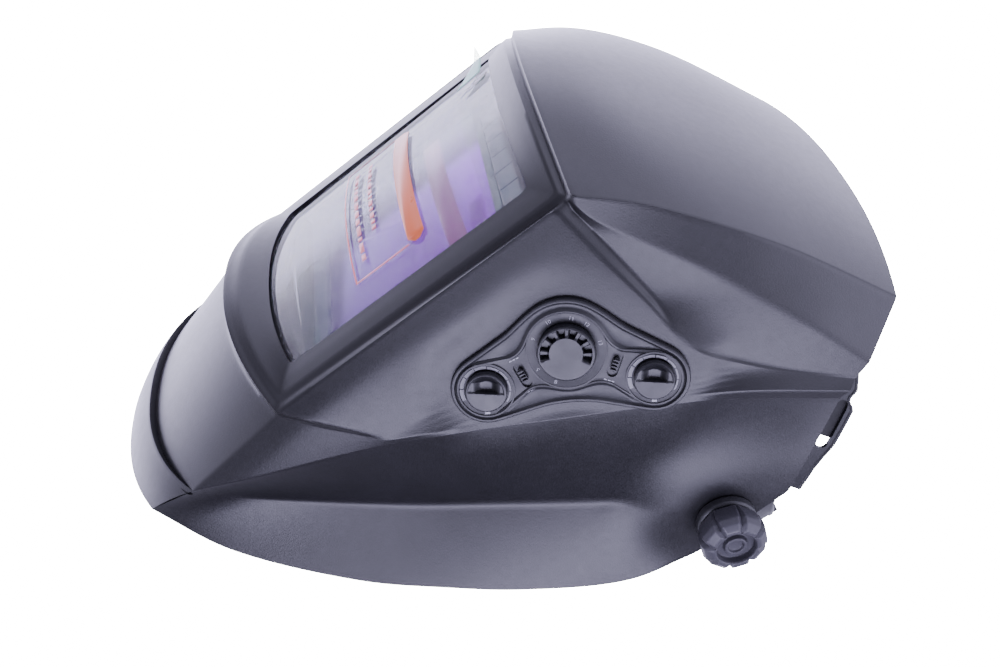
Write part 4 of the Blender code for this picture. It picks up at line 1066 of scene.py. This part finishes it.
def make_numbers():
    """Generic shade numbers round the middle dial."""
    for words, angle in (("5", 128), ("9", 72), ("10", 33), ("11", -6), ("12", -33), ("13", -72), ("8", 165)):
        a = UP_ANGLE + math.radians(angle)
        out = FACET_AXES[0] * math.cos(a) + FACET_AXES[1] * math.sin(a)
        right = out.cross(FACET_NORMAL)
        place = ring_place("shade", 13.5, a, 2.42)
        text_piece(f"figure_{words}", words, 2.3, place, right, out, FACET_NORMAL)


def make_ticks():
    """Short printed dashes by the switches' ends."""
    outline = rect(-0.55, 0.55, -0.22, 0.22)
    for name, centre in SWITCH_CENTRES.items():
        way, cross, normal = switch_frame(name)
        for end in (-1, 1):
            for i in range(3):
                place = facet_place(*centre, 2.08) + way * end * 7.2 + cross * (i - 1) * 1.5
                label = f"tick_{name}_{'b' if end > 0 else 'a'}{i + 1}"
                ride(prism(label, outline, place, (cross, way, normal), 0, 0.06, PRINT), "shell")


def make_switches():
    for name, centre in SWITCH_CENTRES.items():
        frame = switch_frame(name)
        place = facet_place(*centre, 0)
        bm = bmesh.new()
        prism_mesh(bm, slot_loop(3.0, 1.3, 6), place, frame, -4.0, 2.7)
        for i in range(4):
            across = -2.1 + 1.4 * i
            prism_mesh(bm, rect(across - 0.3, across + 0.3, -1.2, 1.2), place, frame, 2.6, 3.7)
        obj = finish_mesh(f"{name}_slide", bm, GLOSS)
        ride(rounded(obj, 0.12, 2), f"{name}_switch", "knob_plastic", f"{name}_switch")


# ---------------------------------------------------------------- tension knobs
KNOB_TIP = 130.0


def petalled(angle, r, h, base, tip):
    """Eight flat sides parted by V grooves that widen towards the tip."""
    turn = angle * 8 / (2 * math.pi)
    off = abs(turn - math.floor(turn) - 0.5)
    up = (h - base) / (tip - base)
    flat = math.cos(math.pi / 8) / math.cos(off * math.pi / 4)
    rim = smooth_share(r, 9.2, 10.6)
    r *= 1 + (flat - 0.96) * rim
    half = 0.045 + 0.15 * up
    groove = max(0.0, 1 - (0.5 - off) / half)
    return r - (0.5 + 2.5 * up) * groove * rim


def make_tension_knobs():
    base = PIVOT_FACE + 5.2
    tip = KNOB_TIP
    points = ((4.3, base), (12.0, base), (12.6, base + 0.8), (13.4, base + 3.0), (14.2, base + 6.0),
              (14.3, base + 8.6), (13.4, tip - 1.9), (10.6, tip), (8.6, tip), (8.2, tip - 0.8),
              (8.0, tip - 3.4), (5.0, tip - 3.4), (4.6, tip - 1.3), (3.4, tip - 1.3), (3.0, tip - 2.6),
              (0, tip - 2.6))
    profile = rounded_profile(points, 0.5)
    low = PIVOT_FACE + 0.4
    rim = rounded_profile(((4.4, low), (12.4, low), (12.8, low + 0.6), (12.6, low + 3.4), (11.6, low + 4.3),
                           (4.4, low + 4.3)), 0.5)

    def shape(angle, k, r, h):
        return petalled(angle, r, h, base, tip), h

    for side, name in ((1, "left"), (-1, "right")):
        axes = side_axes(side)
        # The grip uses the lighter, painted-light copy of the knob plastic.
        knob = turned(f"tension_grip_{name}", profile, (0, 0, 0), axes, KNOB_PAINTED_LIGHT, 192, 22, shape)
        ride(knob, f"tension_knob_{name}", "knob_plastic", f"tension_knob_{name}")
        collar = turned(f"collar_ring_{name}", rim, (0, 0, 0), axes, PLASTIC)
        ride(collar, "shell", "black_plastic", f"knob_collar_{name}")


# ---------------------------------------------------------------- headgear
# Half width, z at the ends and at the top, y at z = 0 and lean; forward sweep and the z where it starts.
CROWN_ARCH = (77.0, 12.0, 102.0, 45.0, 0.50)
CROWN_SWEEP = (26.0, 56.0)
# Rear half width of the crown strap against its arch angle, with a scalloped upper lug.
STRAP_REAR = ((12, 12.0), (41, 12.0), (45, 12.8), (50, 13.6), (53, 14.0), (54.6, 11.4), (56, 11.6),
              (57.5, 14.8), (69, 14.6), (73, 13.0), (77, 12.0), (85, 12.0))
STRAP_FRONT = 12.0
# A strap's side slots: z, place across the strap, half length and radius.
STRAP_SLOTS = ((49.3, 8.0, 12.0, 3.0), (30.0, -3.0, 7.0, 1.6))
STRAP_ACROSS = Vector((0, 1, CROWN_ARCH[4])).normalized()


def arch_point(angle, offset):
    half, base, top, y_at_zero, slope = CROWN_ARCH
    a = math.radians(angle)
    lift = offset * abs(math.cos(a))
    z = base + (top - base + lift) * abs(math.cos(a)) ** 1.1
    x = (half + lift) * math.copysign(abs(math.sin(a)) ** 0.62, a)
    sweep = CROWN_SWEEP[0] * smooth_share(z, CROWN_SWEEP[1], top)
    return Vector((x, y_at_zero - slope * z - sweep, z))


def rear_width(angle):
    angle = min(max(abs(angle), STRAP_REAR[0][0]), STRAP_REAR[-1][0])
    for (a, low), (b, high) in zip(STRAP_REAR, STRAP_REAR[1:]):
        if angle <= b:
            return low + (high - low) * (angle - a) / (b - a)


def strap_frame(angle, offset=0.0):
    """A point on the arch and the direction away from the head there."""
    point = arch_point(angle, offset)
    ahead = arch_point(min(angle + 0.5, 90), offset) - arch_point(max(angle - 0.5, -90), offset)
    out = STRAP_ACROSS.cross(ahead).normalized()
    if out.dot(point - Vector((0, point.y, 0))) < 0:
        out = -out
    return point, out


def rimmed(front, rear):
    """Cross-section with a raised rim on both edges, as (across, out) points."""
    return ((-front, -0.5), (-front + 0.5, -0.9), (rear - 0.5, -0.9), (rear, -0.5), (rear, 0.6),
            (rear - 0.4, 1.0), (rear - 1.5, 1.0), (rear - 1.9, 0.6), (-front + 1.9, 0.6),
            (-front + 1.5, 1.0), (-front + 0.4, 1.0), (-front, 0.6))


def make_strap(name, node, start, end, offset, holes):
    steps = 90
    rings = []
    for i in range(steps + 1):
        angle = start + (end - start) * i / steps
        point, out = strap_frame(angle, offset)
        section = rimmed(STRAP_FRONT, rear_width(angle))
        rings.append([point + STRAP_ACROSS * c + out * o for c, o in section])
    strap = lofted(name, rings, PLASTIC)
    side = 1 if start > 0 else -1
    up = Vector((0, -CROWN_ARCH[4], 1)).normalized()
    axes = (up, STRAP_ACROSS * side, Vector((side, 0, 0)))
    cutters = []
    for height, across, half, radius in STRAP_SLOTS:
        place = Vector((0, CROWN_ARCH[3] - CROWN_ARCH[4] * height, height)) + STRAP_ACROSS * across
        loop = slot_loop(half, radius)
        cutters.append(prism(f"cut_{name}_{height:.0f}", loop, place, axes, 50, 95, PLASTIC))
    axes = (Vector((1, 0, 0)), STRAP_ACROSS, up)
    for x in holes:
        place = arch_point(0, offset) + Vector((x, 0, 0))
        cutters.append(prism(f"cut_{name}_hole_{x:.0f}", circle_loop(2.0, 32), place, axes, -8, 8, PLASTIC))
    ride(cut_boxes(strap, cutters), "headgear", "black_plastic", node)


def make_strap_slot_shade():
    """A dark strip behind the upper part of each strap's long slot: painted shade, a dark sheet where the
    slot shows only shade.
    """
    for side, name in ((1, "left"), (-1, "right")):
        rings = []
        for i in range(17):
            angle = side * (50 + 17.5 * i / 16)
            point, out = strap_frame(angle)
            rings.append([point + STRAP_ACROSS * c + out * o
                          for c, o in ((3.5, -1.2), (12.4, -1.2), (12.4, -2.4), (3.5, -2.4))])
        # Painted shade: a dark sheet behind the slot.
        ride(lofted(f"strap_slot_shade_{name}", rings, RUBBER), "headgear")


def band_wall(name, points, lows, highs):
    """An upright band along plan points, thinner between its rims."""
    wall = 1.0
    rings = []
    for i, point in enumerate(points):
        ahead = points[min(i + 1, len(points) - 1)] - points[max(i - 1, 0)]
        out = Vector((ahead.y, -ahead.x, 0)).normalized()
        low, high = lows[i], highs[i]
        section = ((-wall, low + 0.4), (-wall + 0.4, low), (wall - 0.3, low), (wall, low + 0.4),
                   (wall, low + 1.8), (wall - 0.5, low + 2.4), (wall - 0.5, high - 2.4), (wall, high - 1.8),
                   (wall, high - 0.4), (wall - 0.3, high), (-wall + 0.4, high), (-wall, high - 0.4))
        rings.append([Vector((point.x + out.x * k, point.y + out.y * k, z)) for k, z in section])
    return lofted(name, rings, PLASTIC, 45)


# The headband's oval in plan (half width, half length, y of its middle) and the bands' lower and upper edges.
BAND_OVAL = (76.0, 80.0, 3.0)
BAND_EDGES = (-6.0, 22.0)
BAND_HOLE_PITCH = 9.0
RIVET_PLACES = (-26.0, 19.0)
# The rear bands' middle line: share, x, y and drop below the headband.
REAR_LINE = ((0, 73.4, 34.2, 0.0), (0.22, 69.5, 50.0, -11.0), (0.46, 61.0, 67.0, -20.0),
             (0.68, 49.0, 79.5, -22.0), (0.85, 41.0, 84.4, -22.0), (1, 32.5, 85.4, -22.0))


def band_point(angle, offset=0.0):
    a = math.radians(angle)
    half, length, middle = BAND_OVAL
    return Vector(((half + offset) * math.sin(a), middle - (length + offset) * math.cos(a), 0))


def make_bands():
    half, length, middle = BAND_OVAL
    bottom, top = BAND_EDGES
    path = [band_point(-118 + 236 * i / 140) for i in range(141)]
    band = band_wall("head_band", path, [bottom] * 141, [top] * 141)
    cutters = []
    for i in range(-5, 6):
        place = band_point(i * BAND_HOLE_PITCH)
        out = Vector((place.x / half ** 2, (place.y - middle) / length ** 2, 0)).normalized()
        side = Vector((-out.y, out.x, 0))
        cutters.append(prism(f"cut_band_{i + 5}", slot_loop(3.4, 1.3), place + Vector((0, 0, 16.5)),
                             (side, Vector((0, 0, 1)), out), -5, 5, PLASTIC))
    for side in (1, -1):
        axes = side_axes(side)
        for y in RIVET_PLACES:
            hole = prism(f"cut_rivet_{side}_{y:.0f}", circle_loop(2.0, 24), (0, y, 2), axes, 60, 90, PLASTIC)
            cutters.append(hole)
    ride(cut_boxes(band, cutters), "headgear", "black_plastic", "headband")
    for side, name in ((1, "left"), (-1, "right")):
        places = [line_at(REAR_LINE, i / 60) for i in range(61)]
        points = [Vector((p.x * side, p.y, 0)) for p in places]
        rear = band_wall(f"rear_strap_{name}", points, [p.z + bottom for p in places],
                         [p.z + top for p in places])
        ride(rear, "headgear", "black_plastic", f"rear_band_{name}")


def soft_pad(name, node, points, low, high, thick, voxel, cap, dips):
    """A foam pad grown by a short cloth simulation from a slightly smaller shape."""
    shrink = 0.9
    rings = []
    for i, point in enumerate(points):
        ahead = points[min(i + 1, len(points) - 1)] - points[max(i - 1, 0)]
        out = Vector((ahead.y, -ahead.x, 0)).normalized() * (thick / 2 - shrink)
        rings.append([Vector((point.x + out.x * k, point.y + out.y * k, z))
                      for k, z in ((1, low + 1), (-1, low + 1), (-1, high - 1), (1, high - 1))])
    pad = lofted(name, rings, FOAM, 180)
    add_mod(pad, "REMESH", mode="VOXEL", voxel_size=voxel * MM)
    bake(pad)
    inflate(pad, cap)
    add_mod(pad, "SUBSURF", levels=1, render_levels=1)
    bake(pad)
    sew(pad, low, high, dips)
    pad.data.materials.clear()
    pad.data.materials.append(FOAM)
    pad.data.shade_smooth()
    ride(pad, "headgear", "foam", node)


PAD_PRESSURE = 4.0
SEAM_DEPTH = 0.7


def inflate(pad, cap):
    """Swells the pad with a pressurised cloth, moving no point further than the cap."""
    start = [v.co.copy() for v in pad.data.vertices]
    cloth = pad.modifiers.new("cloth", "CLOTH")
    cloth.settings.use_pressure = True
    cloth.settings.uniform_pressure_force = PAD_PRESSURE
    cloth.settings.effector_weights.gravity = 0.0
    scene = bpy.context.scene
    for step in range(1, 21):
        scene.frame_set(step)
    bake(pad)
    scene.frame_set(1)
    for vertex, old in zip(pad.data.vertices, start):
        move = vertex.co - old
        if move.length > cap * MM:
            vertex.co = old + move.normalized() * cap * MM


def sew(pad, low, high, dips):
    """Sinks sewn channels at the given shares of the pad's height."""
    for vertex in pad.data.vertices:
        share = (vertex.co.z / MM - low) / (high - low)
        nearest = min(abs(share - dip) for dip in dips) * (high - low)
        vertex.co -= vertex.normal * MM * SEAM_DEPTH * (1 - smooth_share(nearest, 0.4, 2.2))


def make_pads():
    inward = 1.0 + 0.3 + 2.5
    brow = [band_point(-60 + 120 * i / 60, -inward) for i in range(61)]
    soft_pad("brow_pad", "sweatband", brow, -9.0, 25.0, 5.0, 3.2, 0.8, (0.12, 0.88))
    nape = [Vector((x, 77.8 - 0.0009 * x * x, 0)) for x in (-34 + 68 * i / 20 for i in range(21))]
    soft_pad("nape_cushion", "nape_pad", nape, -32.0, 4.0, 6.5, 4.0, 0.9, (0.1, 0.9))


RATCHET_PLACE = Vector((0, 88.0, -14.0))


def make_ratchet_knob():
    axes = (Vector((-1, 0, 0)), Vector((0, 0, 1)), Vector((0, 1, 0)))
    points = ((0, -1.1), (3.2, -1.1), (3.2, 9), (12, 9), (12, 5.6), (15.2, 5.6), (16, 6.6), (16, 13.6),
              (14.6, 15.8), (11.0, 16.0), (10.2, 15.0), (4.0, 14.6), (0, 14.6))
    profile = rounded_profile(points, 0.7)

    def shape(angle, k, r, h):
        wave = smooth_share(0.5 - 0.5 * math.cos(18 * angle), 0.35, 0.9)
        return r - 1.1 * wave * smooth_share(r, 13.6, 15.4), h

    knob = turned("ratchet_grip", profile, RATCHET_PLACE, axes, GLOSS, 216, 45, shape)
    ride(knob, "ratchet_knob", "knob_plastic", "ratchet_knob")


# ---------------------------------------------------------------- finishes on the carried-over pieces
SLOT_FINISH = {"shell_nylon": NYLON, "black_plastic": PLASTIC, "knob_plastic": GLOSS, "rubber": RUBBER,
               "cartridge_plastic": CASE, "clear_lens": CLEAR, "filter_glass": FILTER_PAINTED_GLOW, "solar_cell": SOLAR,
               "sensor_dome": SENSOR, "circuit_board": BOARD, "ribbon": CABLE, "foam": FOAM, "steel": STEEL}


def finish_kept(parts):
    """Gives every CAD piece that stays in view its finish and small rounded edges."""
    for name, slot in parts.items():
        obj = bpy.data.objects[name]
        for place in obj.material_slots:
            place.material = SLOT_FINISH[slot]
        if obj.hide_render or slot in ("filter_glass", "ribbon", "circuit_board"):
            continue
        obj.data.shade_smooth()
        add_mod(obj, "BEVEL", width=0.25 * MM, segments=2, limit_method="ANGLE", angle_limit=math.radians(35))


# ---------------------------------------------------------------- floor, light and camera
BACKGROUND = 40.0


def make_floor():
    """A pale floor that glows only towards the camera, fading in from the object outwards."""
    bm = bmesh.new()
    bmesh.ops.create_circle(bm, cap_ends=True, segments=128, radius=6.0)
    mesh = bpy.data.meshes.new("floor")
    bm.to_mesh(mesh)
    bm.free()
    floor = linked("floor", mesh)
    floor.location.z = FLOOR_Z
    mat = bpy.data.materials.new("floor_pale")
    mat.use_nodes = True
    nodes, links = mat.node_tree.nodes, mat.node_tree.links
    shader_of(mat).inputs["Base Color"].default_value = (0.5, 0.5, 0.52, 1)
    shader_of(mat).inputs["Roughness"].default_value = 0.9
    glow = add_node(mat, "Emission", Color=(1, 1, 1, 1), Strength=BACKGROUND)
    path = add_node(mat, "LightPath")
    share = add_node(mat, "Math", "MULTIPLY")
    length = add_node(mat, "VectorMath", "LENGTH")
    mixer = add_node(mat, "MixShader")
    links.new(coordinates(mat), length.inputs[0])
    links.new(ranged(mat, length.outputs["Value"], 0.10, 0.35, 0.55, 1.0), share.inputs[0])
    links.new(path.outputs["Is Camera Ray"], share.inputs[1])
    links.new(share.outputs[0], mixer.inputs[0])
    links.new(shader_of(mat).outputs[0], mixer.inputs[1])
    links.new(glow.outputs[0], mixer.inputs[2])
    links.new(mixer.outputs[0], nodes["Material Output"].inputs["Surface"])
    mesh.materials.append(mat)
    floor.visible_diffuse = floor.visible_glossy = floor.visible_transmission = False


TENT = 2.2
TENT_COLOUR = (0.75, 0.72, 1.0)
LAMP_COLOUR = (0.74, 0.71, 1.0)
RIGHT, UP, BACK = (Vector((CAMERA[0][k], CAMERA[1][k], CAMERA[2][k])) for k in range(3))
# Parts of the light tent that differ: direction, cosines where the change starts and is full, and its factor.
TENT_PARTS = ((RIGHT * 0.87 - UP * 0.1 + BACK * 0.49, 0.80, 0.98, 2.6),
              (-UP * 0.95 + BACK * 0.3, 0.50, 0.95, 0.05),
              (UP * 0.65 - RIGHT * 0.75, 0.78, 0.97, 0.30),
              (BACK - UP * 0.2 - RIGHT * 0.15, 0.10, 0.90, 0.26),
              (UP * 0.3 - RIGHT * 0.6 - BACK * 0.8, 0.55, 0.95, 3.4),
              (RIGHT * 0.3 + UP * 0.5 - BACK * 0.8, 0.84, 1.00, 2.2))


def make_world():
    """White behind the object; as light, a pale tent that is darker below and in front, brighter behind."""
    world = bpy.data.worlds.new("studio")
    bpy.context.scene.world = world
    world.use_nodes = True
    nodes, links = world.node_tree.nodes, world.node_tree.links
    seen = nodes["Background"]
    seen.inputs["Color"].default_value = (1, 1, 1, 1)
    seen.inputs["Strength"].default_value = BACKGROUND
    light = add_node(world, "Background", Color=(*TENT_COLOUR, 1))
    coords = add_node(world, "TexCoord")
    level = None
    for way, start, full, factor in TENT_PARTS:
        dot = add_node(world, "VectorMath", "DOT_PRODUCT")
        dot.inputs[1].default_value = way.normalized()
        fade = add_node(world, "MapRange", From_Min=start, From_Max=full, To_Min=1.0, To_Max=factor)
        fade.interpolation_type = "SMOOTHSTEP"
        links.new(coords.outputs["Generated"], dot.inputs[0])
        links.new(dot.outputs["Value"], fade.inputs["Value"])
        times = add_node(world, "Math", "MULTIPLY")
        links.new(fade.outputs["Result"], times.inputs[0])
        times.inputs[1].default_value = TENT
        if level:
            links.new(level, times.inputs[1])
        level = times.outputs[0]
    links.new(level, light.inputs["Strength"])
    path = add_node(world, "LightPath")
    mixer = add_node(world, "MixShader")
    links.new(path.outputs["Is Camera Ray"], mixer.inputs[0])
    links.new(light.outputs[0], mixer.inputs[1])
    links.new(seen.outputs[0], mixer.inputs[2])
    links.new(mixer.outputs[0], nodes["World Output"].inputs["Surface"])


def area_light(name, place, aim, size, power):
    """A rectangular light facing the aim point, its long side along the camera's right."""
    data = bpy.data.lights.new(name, "AREA")
    data.shape = "RECTANGLE"
    data.size, data.size_y = size
    data.energy = power
    data.color = LAMP_COLOUR
    obj = linked(name, data)
    obj.location = place
    facing = (Vector(place) - Vector(aim)).normalized()
    across = (RIGHT - facing * RIGHT.dot(facing)).normalized()
    obj.rotation_euler = Matrix((across, facing.cross(across), facing)).transposed().to_euler()


def make_camera():
    data = bpy.data.cameras.new("photo_camera")
    data.lens = 45
    data.sensor_width = 36
    data.clip_start = 0.01
    cam = linked("photo_camera", data)
    cam.matrix_world = Matrix(CAMERA)
    bpy.context.scene.camera = cam


def make_lights():
    """A long low card that the skirt mirrors, and a soft key above the crown."""
    skirt = Vector((0.105, -0.045, -0.095))
    away = (RIGHT * 0.12 - UP * 0.64 + BACK * 0.76).normalized()
    area_light("low_card", skirt + away * 0.42, skirt, (0.74, 0.23), 6.0)
    middle = Vector((0.0, -0.07, 0.0))
    area_light("key", middle + UP * 0.8 + BACK * 0.45 + RIGHT * 0.2, middle, (0.7, 0.7), 2.0)


make_shell()
make_lens()
make_plate()
make_dials()
make_switches()
make_tension_knobs()
make_strap("crown_strap_outer", "crown_strap_left", 85, -12, 0.0, (-12, -6, 0, 6, 12))
make_strap("crown_strap_inner", "crown_strap_right", -85, 12, 2.3, (0,))
make_strap_slot_shade()
make_bands()
make_pads()
make_ratchet_knob()
finish_kept({part["node"]: part["material_slot"] for part in frame["record"]["subparts"]})
make_floor()
make_world()
make_camera()
make_lights()
